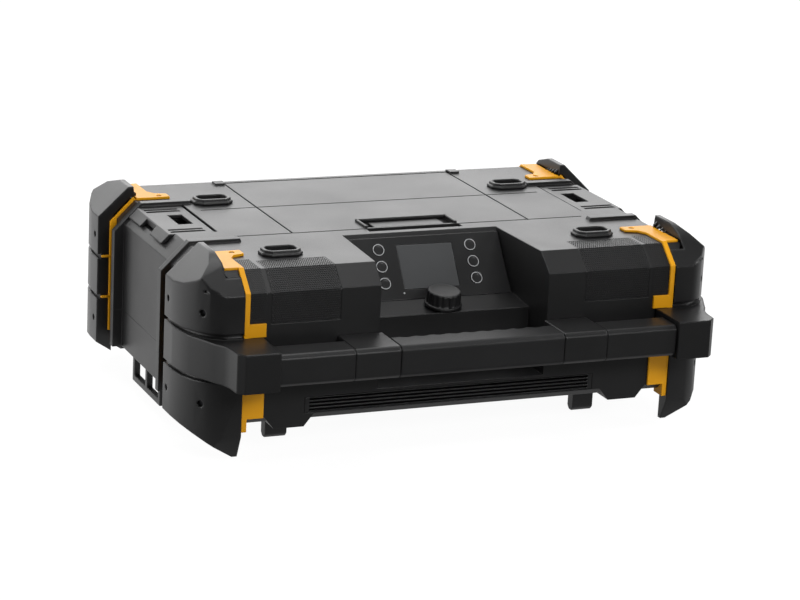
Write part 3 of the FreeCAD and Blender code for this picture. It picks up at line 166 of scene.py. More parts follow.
def dottedGrille(name, settings):
    # a regular grid of small round holes, drawn as painted shade: near-black dots with a bump, not real
    # openings
    material, tree, shader, place = newMaterial(name)
    cells = tree.nodes.new("ShaderNodeTexVoronoi")
    cells.inputs["Scale"].default_value = settings["holesPerMetre"]
    cells.inputs["Randomness"].default_value = 0.0
    shifted = tree.nodes.new("ShaderNodeMapping")
    shifted.inputs["Location"].default_value = settings["shift"]
    tree.links.new(place, shifted.inputs["Vector"])
    tree.links.new(shifted.outputs["Vector"], cells.inputs["Vector"])
    # painted shade in the holes: the near-black hole colour at each cell's centre, the grille colour around
    # it
    colour = blendColour(tree, cells.outputs["Distance"], settings["hole"], settings["colour"],
                         *settings["holeRim"])
    tree.links.new(colour, shader.inputs["Base Color"])
    shader.inputs["Roughness"].default_value = settings["rough"]
    shader.inputs["Specular IOR Level"].default_value = settings["gloss"]
    height = remap(tree, cells.outputs["Distance"], 0.0, 1.0)
    tree.links.new(surfaceBump(tree, height, settings["bump"], settings["deep"], settings["edge"]),
                   shader.inputs["Normal"])
    return material


def brushedMetal(name, colour, rough):
    material, tree, shader, place = newMaterial(name)
    look = metalLook
    streaks = noise(tree, place, look["streakScale"], look["streakDetail"])
    pale = tuple(value * look["lift"] for value in colour)
    tree.links.new(blendColour(tree, streaks, colour, pale), shader.inputs["Base Color"])
    tree.links.new(remap(tree, streaks, rough - look["roughLess"], rough + look["roughMore"]),
                   shader.inputs["Roughness"])
    shader.inputs["Metallic"].default_value = 1.0
    tree.links.new(surfaceBump(tree, streaks, look["bump"], look["deep"], look["edge"]),
                   shader.inputs["Normal"])
    return material


def circuitBoard(name):
    material, tree, shader, place = newMaterial(name)
    cells = tree.nodes.new("ShaderNodeTexBrick")
    cells.inputs["Scale"].default_value = boardLook["tracks"]
    cells.inputs["Color1"].default_value = boardLook["dark"]
    cells.inputs["Color2"].default_value = boardLook["pale"]
    cells.inputs["Mortar"].default_value = boardLook["copper"]
    tree.links.new(place, cells.inputs["Vector"])
    tree.links.new(cells.outputs["Color"], shader.inputs["Base Color"])
    shader.inputs["Roughness"].default_value = boardLook["rough"]
    return material


finishes = {
    "case": {"colour": (0.0075, 0.0075, 0.0078), "lift": 1.25, "rough": 0.4, "grain": 1500, "bump": 0.14,
             "deep": 0.0004, "edge": 0.0012, "gloss": 0.5},
    "bumper": {"colour": (0.0065, 0.0065, 0.0068), "lift": 1.3, "rough": 0.36, "grain": 1900, "bump": 0.1,
               "deep": 0.0003, "edge": 0.002, "gloss": 0.5},
    "yellow": {"colour": (0.80, 0.36, 0.006), "lift": 1.08, "rough": 0.42, "grain": 1500, "bump": 0.1,
               "deep": 0.0003, "edge": 0.0008, "gloss": 0.25},
    "rubber": {"colour": (0.008, 0.008, 0.0085), "lift": 1.3, "rough": 0.5, "grain": 2200, "bump": 0.22,
               "deep": 0.0004, "edge": 0.0015, "gloss": 0.4},
    "panel": {"colour": (0.022, 0.022, 0.0225), "lift": 1.3, "rough": 0.2, "grain": 900, "bump": 0.02,
              "deep": 0.0002, "edge": 0.0006, "gloss": 0.5},
    "screen": {"colour": (0.072, 0.074, 0.076), "lift": 1.15, "rough": 0.16, "grain": 700, "bump": 0.01,
               "deep": 0.0001, "edge": 0.0004, "gloss": 0.5},
    "knob": {"colour": (0.007, 0.007, 0.0075), "lift": 1.3, "rough": 0.4, "grain": 1800, "bump": 0.12,
             "deep": 0.0003, "edge": 0.0006, "gloss": 0.5},
    "ring": {"colour": (0.46, 0.47, 0.48), "lift": 1.1, "rough": 0.5, "grain": 900, "bump": 0.03,
             "deep": 0.0002, "edge": 0.0002, "gloss": 0.4},
    "skin": {"colour": (0.009, 0.009, 0.0095), "lift": 1.3, "rough": 0.42, "grain": 1500, "bump": 0.05,
             "deep": 0.0002, "edge": 0.0002, "gloss": 0.5},
    "cone": {"colour": (0.03, 0.03, 0.031), "lift": 1.3, "rough": 0.7, "grain": 600, "bump": 0.3,
             "deep": 0.0006, "edge": 0.0006, "gloss": 0.3},
}
# the hole colour is painted shade, standing in for the dark inside of each hole
grilleLook = {"holesPerMetre": 900, "shift": (0.0, 0.0, 0.0), "hole": (0.002, 0.002, 0.002),
              "colour": (0.02, 0.02, 0.021), "holeRim": (0.3, 0.42), "rough": 0.42, "gloss": 0.5,
              "bump": 0.7, "deep": 0.0006, "edge": 0.0008}

casePlastic = mouldedPlastic("casePlastic", finishes["case"])
bumperPlastic = mouldedPlastic("bumperPlastic", finishes["bumper"])
linerYellow = mouldedPlastic("linerYellow", finishes["yellow"])
gripRubber = mouldedPlastic("gripRubber", finishes["rubber"])
sealRubber = mouldedPlastic("sealRubber", finishes["rubber"])
panelGloss = mouldedPlastic("panelGloss", finishes["panel"])
screenGlass = mouldedPlastic("screenGlass", finishes["screen"])
knobRubber = mouldedPlastic("knobRubber", finishes["knob"])
ringPrint = mouldedPlastic("ringPrint", finishes["ring"])
conePulp = mouldedPlastic("conePulp", finishes["cone"])
grilleMetal = dottedGrille("grilleMetal", grilleLook)
skinMetal = mouldedPlastic("skinMetal", finishes["skin"])
platedSteel = brushedMetal("platedSteel", (0.5, 0.5, 0.51), 0.32)
darkSteel = brushedMetal("darkSteel", (0.05, 0.05, 0.055), 0.4)
boardGreen = circuitBoard("boardGreen")

slotFinish = {
    "case_black": casePlastic, "bumper_black": bumperPlastic, "gloss_black": panelGloss,
    "accent_yellow": linerYellow, "grille_black": grilleMetal, "grip_rubber": gripRubber,
    "knob_rubber": knobRubber, "screen_glass": screenGlass, "circuit_green": boardGreen,
    "steel": platedSteel, "seal_rubber": sealRubber, "cone_black": conePulp,
}
slotOf = {part["node"]: part["material_slot"] for part in record["subparts"]}
for nodeName, nodeObject in frame["nodes"].items():
    nodeObject.data.materials.clear()
    nodeObject.data.materials.append(slotFinish[slotOf[nodeName]])
for nodeName in ("bumper_screws", "case_screws"):
    frame["nodes"][nodeName].data.materials[0] = darkSteel
print("materials ready")


# welding distances in metres, and the angle in degrees under which faces count as flat
cleanUp = {"weldNode": 0.00001, "weldCut": 0.00002, "flatAngle": 1.0}


# mesh helpers
def addObject(name, mesh):
    item = bpy.data.objects.new(name, mesh)
    bpy.context.scene.collection.objects.link(item)
    return item


def meshFrom(name, shape, smoothAngle=35):
    for edge in shape.edges:
        if len(edge.link_faces) == 2:
            edge.smooth = edge.calc_face_angle(0.0) < math.radians(smoothAngle)
    for face in shape.faces:
        face.smooth = True
    mesh = bpy.data.meshes.new(name)
    shape.to_mesh(mesh)
    shape.free()
    return mesh


def boxAt(shape, low, high):
    # adds an upright block between two corners to a bmesh
    made = bmesh.ops.create_cube(shape, size=1.0)["verts"]
    middle = (low + high) / 2
    span = high - low
    for vert in made:
        vert.co = Vector((vert.co.x * span.x, vert.co.y * span.y, vert.co.z * span.z)) + middle
    return made


def roundEdges(item, width, segments=3, angle=32):
    bevel = item.modifiers.new("roundedEdges", "BEVEL")
    bevel.width = width
    bevel.segments = segments
    bevel.limit_method = "ANGLE"
    bevel.angle_limit = math.radians(angle)
    bevel.harden_normals = True
    bevel.miter_outer = "MITER_ARC"
    # keeps the large flat faces evenly shaded beside the rounded edges
    weighted = item.modifiers.new("weightedNormals", "WEIGHTED_NORMAL")
    weighted.weight = 100
    weighted.keep_sharp = True


def applyModifiers(item):
    graph = bpy.context.evaluated_depsgraph_get()
    finished = bpy.data.meshes.new_from_object(item.evaluated_get(graph), preserve_all_data_layers=True,
                                               depsgraph=graph)
    item.modifiers.clear()
    item.data = finished


def bodyOfNode(nodeName):
    for body, members in record["behaviour"]["bodies"].items():
        if nodeName in members:
            return body
    return None


def combineWith(item, other, operation):
    combine = item.modifiers.new("combine", "BOOLEAN")
    combine.operation = operation
    combine.solver = "EXACT"
    combine.object = other
    applyModifiers(item)


def cutWith(item, cutter):
    combineWith(item, cutter, "DIFFERENCE")


def joinWith(item, addition):
    combineWith(item, addition, "UNION")


def weldFlatFaces(shape, distance):
    bmesh.ops.remove_doubles(shape, verts=shape.verts, dist=distance)
    bmesh.ops.dissolve_limit(shape, angle_limit=math.radians(cleanUp["flatAngle"]), verts=shape.verts,
                             edges=shape.edges)


def mergeFlatFaces(item):
    # joins the coplanar faces that booleans and tessellation leave behind
    shape = bmesh.new()
    shape.from_mesh(item.data)
    weldFlatFaces(shape, cleanUp["weldCut"])
    material = item.data.materials[0]
    item.data = meshFrom(item.name, shape)
    item.data.materials.clear()
    item.data.materials.append(material)


def refinedPiece(nodeName, pieceName, width, segments=3, cutter=None, addition=None):
    # the node's own form with merged flat faces, grooves and truly rounded edges
    shape = bmesh.new()
    shape.from_mesh(frame["nodes"][nodeName].data)
    weldFlatFaces(shape, cleanUp["weldNode"])
    piece = addObject(pieceName, meshFrom(pieceName, shape))
    piece.data.materials.append(slotFinish[slotOf[nodeName]])
    if addition is not None:
        joinWith(piece, addition)
    if cutter is not None:
        cutWith(piece, cutter)
    if cutter is not None or addition is not None:
        mergeFlatFaces(piece)
    if width > 0:
        roundEdges(piece, width, segments)
        applyModifiers(piece)
    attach(piece, bodyOfNode(nodeName))
    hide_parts(nodeName)
    return piece


# grooves in the lid and the top of the case, in millimetres
topGrooves = {
    "width": 1.5, "deep": 1.6, "lidEdge": 101.3, "front": -39.2, "rear": 125.0,
    "crossDepth": 43.1, "crossReach": 148.5, "frontReach": 149.0, "over": 2,
}
# edge radii of the case shells in metres
caseRound = {"upper_housing": 0.0007, "charger_lid": 0.0004, "lower_housing": 0.0008, "steps": 2}


def grooveCutter(settings):
    shape = bmesh.new()
    half = settings["width"] / 2
    low = caseTop / frameMm - settings["deep"]
    high = caseTop / frameMm + settings["over"]
    for side in (-1, 1):
        edge = side * settings["lidEdge"]
        boxAt(shape, fromCase(edge - half, settings["front"], low),
              fromCase(edge + half, settings["rear"], high))
    cutter = addObject("grooveCutterSides", meshFrom("grooveCutterSides", shape))
    shape = bmesh.new()
    reach = settings["crossReach"]
    cross = settings["crossDepth"]
    boxAt(shape, fromCase(-reach, cross - half, low), fromCase(reach, cross + half, high))
    frontReach = settings["frontReach"]
    front = settings["front"]
    boxAt(shape, fromCase(-frontReach, front - half, low), fromCase(frontReach, front + half, high))
    crossing = addObject("grooveCutterCross", meshFrom("grooveCutterCross", shape))
    return cutter, crossing


def makeCase():
    sides, crossing = grooveCutter(topGrooves)
    for nodeName, pieceName in (("upper_housing", "upperCase"), ("charger_lid", "bayLid")):
        piece = refinedPiece(nodeName, pieceName, 0, cutter=sides)
        cutWith(piece, crossing)
        mergeFlatFaces(piece)
        roundEdges(piece, caseRound[nodeName], caseRound["steps"])
        applyModifiers(piece)
    for cutter in (sides, crossing):
        bpy.data.objects.remove(cutter)
    refinedPiece("lower_housing", "lowerCase", caseRound["lower_housing"], caseRound["steps"])
    print("case shells ready")


makeCase()

# pieces whose edges are rounded, with the radius in metres
roundedPieces = {
    "stacking_bosses": ("stackingBosses", 0.0007),
    "feet": ("feet", 0.0010),
    "vent_grille": ("ventGrille", 0.0003),
    "lid_latch": ("lidLatch", 0.0006),
    "control_panel": ("controlPanel", 0.0004),
    "display_window": ("displayWindow", 0.0003),
    "handle_grip": ("handleGrip", 0.0018),
}
for side in ("left", "right"):
    roundedPieces[f"bar_bracket_{side}"] = (f"barBracket_{side}", 0.0010)
    roundedPieces[f"front_bar_{side}"] = (f"frontBar_{side}", 0.0010)
    roundedPieces[f"side_loop_{side}"] = (f"sideLoop_{side}", 0.0006)
    for end in ("front", "rear"):
        roundedPieces[f"corner_liner_{end}_{side}"] = (f"cornerLiner_{end}_{side}", 0.0005)
for nodeName, (pieceName, width) in roundedPieces.items():
    refinedPiece(nodeName, pieceName, width)
print("rounded pieces ready")


def hullOf(name, points):
    shape = bmesh.new()
    for point in points:
        shape.verts.new(point)
    made = bmesh.ops.convex_hull(shape, input=shape.verts)
    spare = [item for item in made["geom_interior"] if isinstance(item, bmesh.types.BMVert)]
    bmesh.ops.delete(shape, geom=spare, context="VERTS")
    bmesh.ops.recalc_face_normals(shape, faces=shape.faces)
    return addObject(name, meshFrom(name, shape))


# closed corner between each bumper's fin and its front wall: (across, depth, height) in millimetres
bumperLook = {
    "edgeRound": 0.0022,
    "corner": [(192, 150, 131), (204, 144, 132.9), (204.3, 143.7, 137), (209.3, 137.4, 143),
               (200.3, 128.5, 151.5), (190.5, 128.5, 151.5), (190.5, 138, 142.4), (190.5, 149, 131.9),
               (192, 138.2, 128), (205, 138.2, 128), (190.6, 132.5, 147.5)],
}


def makeBumpers():
    for endName, end in (("front", -1), ("rear", 1)):
        for sideName, side in (("left", -1), ("right", 1)):
            points = [fromCase(side * x, end * depth, z) for x, depth, z in bumperLook["corner"]]
            corner = hullOf("cornerFill", points)
            refinedPiece(f"bumper_{endName}_{sideName}", f"bumper_{endName}_{sideName}_shell",
                         bumperLook["edgeRound"], addition=corner)
            bpy.data.objects.remove(corner)


makeBumpers()
print("bumpers ready")

# yellow rim that shows between each bumper's edge and the case, in millimetres
rimLook = {"near": 84.8, "far": 86.9, "outer": 210.6, "inner": 205.2, "low": 38.0, "shoulder": 129.0,
           "topX": 191.5, "topZ": 148.2, "innerTopX": 189.2, "innerTopZ": 145.9, "innerShoulder": 130.2,
           "grooves": (66.3, 100.2), "tabReach": 217.0, "tabHalf": 0.8, "tabFar": 91.0, "tabInset": 1,
           "edgeRound": 0.0003, "roundSteps": 2}


def makeLinerRims():
    look = rimLook
    outer = [(look["outer"], look["low"]), (look["outer"], look["shoulder"]), (look["topX"], look["topZ"])]
    inner = [(look["inner"], look["low"]), (look["inner"], look["innerShoulder"]),
             (look["innerTopX"], look["innerTopZ"])]
    for endName, end in (("front", -1), ("rear", 1)):
        for sideName, side in (("left", -1), ("right", 1)):
            shape = bmesh.new()
            rows = []
            for depth in (look["near"], look["far"]):
                rows.append(([shape.verts.new(fromCase(side * x, end * depth, z)) for x, z in outer],
                             [shape.verts.new(fromCase(side * x, end * depth, z)) for x, z in inner]))
            (nearOut, nearIn), (farOut, farIn) = rows
            for step in range(len(outer) - 1):
                shape.faces.new((nearOut[step], nearOut[step + 1], nearIn[step + 1], nearIn[step]))
                shape.faces.new((farOut[step], farIn[step], farIn[step + 1], farOut[step + 1]))
                shape.faces.new((nearOut[step], farOut[step], farOut[step + 1], nearOut[step + 1]))
                shape.faces.new((nearIn[step], nearIn[step + 1], farIn[step + 1], farIn[step]))
            shape.faces.new((nearOut[0], nearIn[0], farIn[0], farOut[0]))
            shape.faces.new((nearOut[-1], farOut[-1], farIn[-1], nearIn[-1]))
            for height in look["grooves"]:
                xs = sorted((side * (look["outer"] - look["tabInset"]), side * look["tabReach"]))
                depths = sorted((end * look["near"], end * look["tabFar"]))
                boxAt(shape, fromCase(xs[0], depths[0], height - look["tabHalf"]),
                      fromCase(xs[1], depths[1], height + look["tabHalf"]))
            bmesh.ops.recalc_face_normals(shape, faces=shape.faces)
            rim = addObject(f"linerRim_{endName}_{sideName}", meshFrom("linerRim", shape))
            rim.data.materials.append(linerYellow)
            roundEdges(rim, look["edgeRound"], look["roundSteps"])
            applyModifiers(rim)
            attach(rim, "case")


makeLinerRims()

# side latch plates with their ladder of slots cut wider: (near, far) depths in millimetres
plateLook = {"slots": ((-16.0, -12.6), (-9.6, -6.2), (46.0, 49.4), (52.4, 55.8)), "innerX": 164.5,
             "outerX": 192.5, "floor": 141.9, "cutTop": 148, "edgeRound": 0.0005}


def makeLatchPlates():
    for sideName, side in (("left", -1), ("right", 1)):
        shape = bmesh.new()
        xs = sorted((side * plateLook["innerX"], side * plateLook["outerX"]))
        for near, far in plateLook["slots"]:
            boxAt(shape, fromCase(xs[0], near, plateLook["floor"]),
                  fromCase(xs[1], far, plateLook["cutTop"]))
        cutter = addObject("slotCutter", meshFrom("slotCutter", shape))
        refinedPiece(f"side_latch_plate_{sideName}", f"sideLatchPlate_{sideName}", plateLook["edgeRound"],
                     cutter=cutter)
        bpy.data.objects.remove(cutter)


makeLatchPlates()
print("liner rims and latch plates ready")

# perforated speaker skins: rows of small square holes in staggered rows, in millimetres
skinLook = {
    "pitch": 1.75, "wall": 0.28, "deep": 0.45, "fullCell": 0.9, "smoothAngle": 10,
    "line": [(-147.0, 107.7), (-147.0, 131.6), (-130.5, 145.7), (-110.0, 145.7)],
    "paneX": (102.0, 156.7), "stripX": (160.6, 177.8),
    "stripLine": [(-147.25, 110.0), (-147.25, 131.7), (-130.6, 145.95), (-105.0, 145.95)],
}


def perforatedStrip(shape, start, end, low, high, look):
    # one flat band between two (depth, height) points and two across values
    along = Vector((0, end[0] - start[0], end[1] - start[1]))
    length = along.length
    along.normalize()
    inward = Vector((0, -along.z, along.y)) * -1
    rows = max(1, round(length / look["pitch"]))
    columns = max(1, round((high - low) / look["pitch"]))
    rowStep = length / rows
    columnStep = (high - low) / columns
    for row in range(rows):
        offset = 0.5 * (row % 2)
        edges = [low] + [low + (column + offset) * columnStep for column in range(columns + 1)] + [high]
        edges = sorted({round(min(high, max(low, edge)), 5) for edge in edges})
        for left, right in zip(edges, edges[1:]):
            corners = [(left, row * rowStep), (right, row * rowStep), (right, (row + 1) * rowStep),
                       (left, (row + 1) * rowStep)]
            hasHole = right - left > look["fullCell"] * columnStep
            addCell(shape, corners, start, along, inward, look, hasHole)


def addCell(shape, corners, start, along, inward, look, hasHole):
    def at(across, run, sink):
        place = Vector((across, start[0], start[1])) + along * run + inward * sink
        return shape.verts.new(fromCase(*place))

    outer = [at(across, run, 0) for across, run in corners]
    if not hasHole:
        shape.faces.new(outer)
        return
    wall = look["wall"]
    (left, low), (right, _), (_, high), _ = corners
    hole = [(left + wall, low + wall), (right - wall, low + wall), (right - wall, high - wall),
            (left + wall, high - wall)]
    rim = [at(across, run, 0) for across, run in hole]
    base = [at(across, run, look["deep"]) for across, run in hole]
    for index in range(4):
        after = (index + 1) % 4
        shape.faces.new((outer[index], outer[after], rim[after], rim[index]))
        shape.faces.new((rim[index], rim[after], base[after], base[index]))
    shape.faces.new(base)


def makeSpeakerSkins():
    for sideName, side in (("left", -1), ("right", 1)):
        for label, line, reach in (("speakerSkin", skinLook["line"], skinLook["paneX"]),
                                   ("stripSkin", skinLook["stripLine"], skinLook["stripX"])):
            shape = bmesh.new()
            low, high = sorted((side * reach[0], side * reach[1]))
            for start, end in zip(line, line[1:]):
                perforatedStrip(shape, start, end, low, high, skinLook)
            bmesh.ops.remove_doubles(shape, verts=shape.verts, dist=cleanUp["weldNode"])
            bmesh.ops.recalc_face_normals(shape, faces=shape.faces)
            skin = addObject(f"{label}_{sideName}", meshFrom(label, shape, skinLook["smoothAngle"]))
            skin.data.materials.append(skinMetal)
            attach(skin, "case")
            if label == "speakerSkin":
                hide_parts(f"speaker_grille_{sideName}")


makeSpeakerSkins()
print("speaker skins ready")

# raised frame round the lid latch, in millimetres
latchFrame = {"halfX": 39.5, "rear": -15.0, "front": -37.4, "bar": 2.2, "low": 144.0, "joint": 0.1,
              "bridgeLow": 144.8, "high": 147.6, "round": 0.0006, "roundSteps": 2}


def makeLatchFrame():
    look = latchFrame
    shape = bmesh.new()
    half = look["halfX"]
    bar = look["bar"]
    # the rear bar bridges the pocket, but the slid latch, 145.1 high, still reaches 0.3 into it
    boxAt(shape, fromCase(-half, look["rear"] - bar, look["bridgeLow"]),
          fromCase(half, look["rear"], look["high"]))
    for side in (-1, 1):
        xs = sorted((side * half, side * (half - bar)))
        boxAt(shape, fromCase(xs[0], look["front"], look["low"]),
              fromCase(xs[1], look["rear"] - look["joint"], look["high"]))
    tab = addObject("latchFrame", meshFrom("latchFrame", shape))
    tab.data.materials.append(casePlastic)
    roundEdges(tab, look["round"], look["roundSteps"])
    applyModifiers(tab)
    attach(tab, "charger_lid")


makeLatchFrame()

# preset buttons: a shallow dished cap with a pale printed ring, in millimetres and shares of the radius
presetLook = {"count": 6, "radius": 4.8, "thick": 1.6, "dish": 0.35, "sides": 48, "lowChamfer": 0.2,
              "highChamfer": 0.3, "rimShare": 0.97, "landShare": 0.82, "bowlShare": 0.6, "bowlDepth": 0.8,
              "floorShare": 0.25, "ringStroke": 0.6, "ringInset": 0.05, "ringSunk": 0.1, "ringProud": 0.06}


def panelNormal():
    for joint in record["behaviour"]["joints"]:
        if joint["name"] == "preset_push_1":
            return -Vector(joint["axis"]).normalized()
    return Vector((0, 0, 1))


def skinRings(shape, rings):
    # joins a stack of rings with quads and closes both ends
    sides = len(rings[0])
    for lower, upper in zip(rings, rings[1:]):
        for index in range(sides):
            after = (index + 1) % sides
            shape.faces.new((lower[index], lower[after], upper[after], upper[index]))
    shape.faces.new(list(reversed(rings[0])))
    shape.faces.new(rings[-1])


def lathe(shape, outline, sides):
    # turns (radius, height) points about Z
    rings = []
    for radius, height in outline:
        ring = []
        for index in range(sides):
            turn = 2 * math.pi * index / sides
            ring.append(shape.verts.new((radius * math.cos(turn), radius * math.sin(turn), height)))
        rings.append(ring)
    skinRings(shape, rings)


def standOn(item, place, direction):
    turn = direction.to_track_quat("Z", "Y").to_matrix().to_4x4()
    item.data.transform(Matrix.Translation(place) @ turn)


def makePresets():
    look = presetLook
    outward = panelNormal()
    radius = look["radius"] * frameMm
    half = look["thick"] * frameMm / 2
    dish = look["dish"] * frameMm
    outer = radius - look["ringInset"] * frameMm
    inner = outer - look["ringStroke"] * frameMm
    ringLow = half - look["ringSunk"] * frameMm
    ringHigh = half + look["ringProud"] * frameMm
    outline = [(radius * look["rimShare"], -half), (radius, -half + look["lowChamfer"] * frameMm),
               (radius, half - look["highChamfer"] * frameMm), (radius * look["rimShare"], half),
               (radius * look["landShare"], half),
               (radius * look["bowlShare"], half - dish * look["bowlDepth"]),
               (radius * look["floorShare"], half - dish)]
    profile = [(inner, ringLow), (outer, ringLow), (outer, ringHigh), (inner, ringHigh)]
    for number in range(1, look["count"] + 1):
        nodeName = f"preset_button_{number}"
        low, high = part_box(nodeName)
        middle = (low + high) / 2
        shape = bmesh.new()
        lathe(shape, outline, look["sides"])
        cap = addObject(f"presetCap_{number}", meshFrom("presetCap", shape))
        cap.data.materials.append(panelGloss)
        standOn(cap, middle, outward)
        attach(cap, nodeName)
        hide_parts(nodeName)
        shape = bmesh.new()
        ringShape(shape, profile, look["sides"])
        ring = addObject(f"presetRing_{number}", meshFrom("presetRing", shape))
        ring.data.materials.append(ringPrint)
        standOn(ring, middle, outward)
        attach(ring, nodeName)


def ringShape(shape, profile, sides):
    # closed profile swept round Z
    loops = []
    for index in range(sides):
        turn = 2 * math.pi * index / sides
        loops.append([shape.verts.new((r * math.cos(turn), r * math.sin(turn), h)) for r, h in profile])
    count = len(profile)
    for index in range(sides):
        here, there = loops[index], loops[(index + 1) % sides]
        for step in range(count):
            after = (step + 1) % count
            shape.faces.new((here[step], there[step], there[after], here[after]))


makePresets()

# small lamp beside the lower left preset row, in millimetres
lampLook = {"across": -24.5, "height": 104.6, "radius": 0.7, "proud": 0.15, "panelHalf": 1.25, "sunk": 0.2,
            "sideShare": 0.6, "crownShare": 0.7, "sides": 20}


def makeLamp():
    outward = panelNormal()
    low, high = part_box("control_panel")
    lean = math.atan2(-outward.y, outward.z)
    centre = (low + high) / 2
    rise = lampLook["height"] * frameMm - centre.z
    place = Vector((lampLook["across"] * frameMm, centre.y + rise / math.tan(lean),
                    lampLook["height"] * frameMm))
    radius = lampLook["radius"] * frameMm
    proud = lampLook["proud"] * frameMm
    shape = bmesh.new()
    outline = [(radius, -lampLook["sunk"] * frameMm), (radius, proud * lampLook["sideShare"]),
               (radius * lampLook["crownShare"], proud)]
    lathe(shape, outline, lampLook["sides"])
    lamp = addObject("indicatorLamp", meshFrom("indicatorLamp", shape))
    lamp.data.materials.append(ringPrint)
    # the lamp stands on the panel's face, half its thickness out from the middle
    standOn(lamp, place + outward * lampLook["panelHalf"] * frameMm, outward)
    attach(lamp, "case")


makeLamp()

# tuning knob: fluted side, skirt, bevelled rim and a dished top, in millimetres
knobLook = {"radius": 14.7, "height": 12.4, "gap": 1.4, "flutes": 18, "fluteDeep": 0.7, "fluteSharp": 3,
            "skirt": 2.4, "rim": 1.2, "dish": 0.6, "stepsPerFlute": 8, "smoothAngle": 50, "pointerHalf": 0.9,
            "pointerOut": 0.6, "pointerIn": 3.0, "pointerDrop": 0.9, "pointerRound": 0.0004}


def makeKnob():
    joint = [item for item in record["behaviour"]["joints"] if item["name"] == "tuning_knob_turn"][0]
    axis = Vector(joint["axis"]).normalized()
    base = Vector(joint["pos_m"]) + axis * knobLook["gap"] * frameMm
    radius = knobLook["radius"] * frameMm
    height = knobLook["height"] * frameMm
    sides = knobLook["flutes"] * knobLook["stepsPerFlute"]
    skirt = knobLook["skirt"] * frameMm
    rim = knobLook["rim"] * frameMm
    dish = knobLook["dish"] * frameMm
    # radius, height and share of the flutes: skirt, fluted side, bevelled rim, dished top
    levels = [
        (radius - 0.0005, 0.0, 0.0), (radius, 0.0005, 0.0), (radius, skirt - 0.0004, 0.0),
        (radius - 0.0005, skirt, 0.0), (radius - 0.0011, skirt + 0.0002, 0.3),
        (radius - 0.0012, skirt + 0.0012, 1.0), (radius - 0.0013, height - rim - 0.0006, 1.0),
        (radius - 0.0016, height - rim * 0.5, 0.6), (radius - 0.0024, height - 0.0001, 0.1),
        (radius - 0.0034, height, 0.0), (radius - 0.0044, height - 0.0002, 0.0),
        (radius * 0.45, height - dish, 0.0), (radius * 0.15, height - dish * 1.1, 0.0),
    ]
    shape = bmesh.new()
    rings = []
    for around, level, share in levels:
        ring = []
        for index in range(sides):
            turn = 2 * math.pi * index / sides
            wave = abs(math.cos(knobLook["flutes"] * turn / 2)) ** knobLook["fluteSharp"]
            reach = around - share * wave * knobLook["fluteDeep"] * frameMm
            ring.append(shape.verts.new((reach * math.cos(turn), reach * math.sin(turn), level)))
        rings.append(ring)
    skinRings(shape, rings)
    knob = addObject("tuningKnobCap", meshFrom("tuningKnobCap", shape, knobLook["smoothAngle"]))
    knob.data.materials.append(knobRubber)
    standOn(knob, base, axis)
    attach(knob, "tuning_knob")
    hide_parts("tuning_knob")
    # pointer rib down one side of the knob
    shape = bmesh.new()
    pointerHalf = knobLook["pointerHalf"] * frameMm
    pointerTop = height - knobLook["pointerDrop"] * frameMm
    boxAt(shape, Vector((-pointerHalf, -radius + knobLook["pointerOut"] * frameMm, skirt)),
          Vector((pointerHalf, -radius + knobLook["pointerIn"] * frameMm, pointerTop)))
    rib = addObject("knobPointer", meshFrom("knobPointer", shape))
    rib.data.materials.append(knobRubber)
    roundEdges(rib, knobLook["pointerRound"], 2)
    applyModifiers(rib)
    standOn(rib, base, axis)
    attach(rib, "tuning_knob")


makeKnob()
print("controls ready")

# stiffening ribs on the inner side of each bumper's fin, in millimetres
finRibs = {"count": 4, "first": 90.5, "pitch": 5.5, "thick": 1.6, "innerX": 187.6, "outerX": 192.4,
           "low": 147.9, "high": 153.6, "fall": 0.9, "slope": 3.5, "edgeRound": 0.0004, "roundSteps": 2}


def makeFinRibs():
    for endName, end in (("front", -1), ("rear", 1)):
        for sideName, side in (("left", -1), ("right", 1)):
            shape = bmesh.new()
            for index in range(finRibs["count"]):
                depth = finRibs["first"] + index * finRibs["pitch"]
                high = finRibs["high"] - index * finRibs["fall"]
                xs = sorted((side * finRibs["innerX"], side * finRibs["outerX"]))
                depths = sorted((end * depth, end * (depth + finRibs["thick"])))
                verts = boxAt(shape, fromCase(xs[0], depths[0], finRibs["low"]),
                              fromCase(xs[1], depths[1], high))
                for vert in verts:
                    # the rib's inner upper corner slopes down
                    isInner = abs(vert.co.x) < (finRibs["innerX"] + 1) * frameMm
                    if isInner and vert.co.z > (high - 1) * frameMm:
                        vert.co.z -= finRibs["slope"] * frameMm
            ribs = addObject(f"finRibs_{endName}_{sideName}", meshFrom("finRibs", shape))
            ribs.data.materials.append(bumperPlastic)
            roundEdges(ribs, finRibs["edgeRound"], finRibs["roundSteps"])
            applyModifiers(ribs)
            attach(ribs, "case")


makeFinRibs()
print("bumper ribs ready")

# studio: floor tone and its mirrored brightness from front to rear, then the sky's glow
studio = {"floor": 0.5, "floorReach": 6.0, "floorRough": 0.9, "white": 1.22, "whiteShare": 0.78,
          "sheenFront": 0.18, "sheenRear": 1.0, "sheenFrom": -0.3, "sheenTo": 0.2,
          "frontGlow": 0.1, "rearGlow": 0.5, "glowFrom": -0.3, "glowTo": 0.8, "aim": (0, 0, 0.08)}
# lamps: place and size in metres, power in watts
lamps = {
    "rearSoftbox": {"place": (0.3, 2.0, 1.0), "size": (2.4, 1.2), "power": 24.0},
    "topSoftbox": {"place": (0.0, 0.2, 1.8), "size": (1.4, 1.2), "power": 15.0},
    "leftSoftbox": {"place": (-2.0, 0.3, 0.6), "size": (1.4, 1.0), "power": 18.0},
    "frontFill": {"place": (0.2, -2.4, 1.4), "size": (1.6, 0.6), "power": 31.0},
    "rightFill": {"place": (2.0, -0.4, 0.9), "size": (1.0, 0.8), "power": 15.0},
}


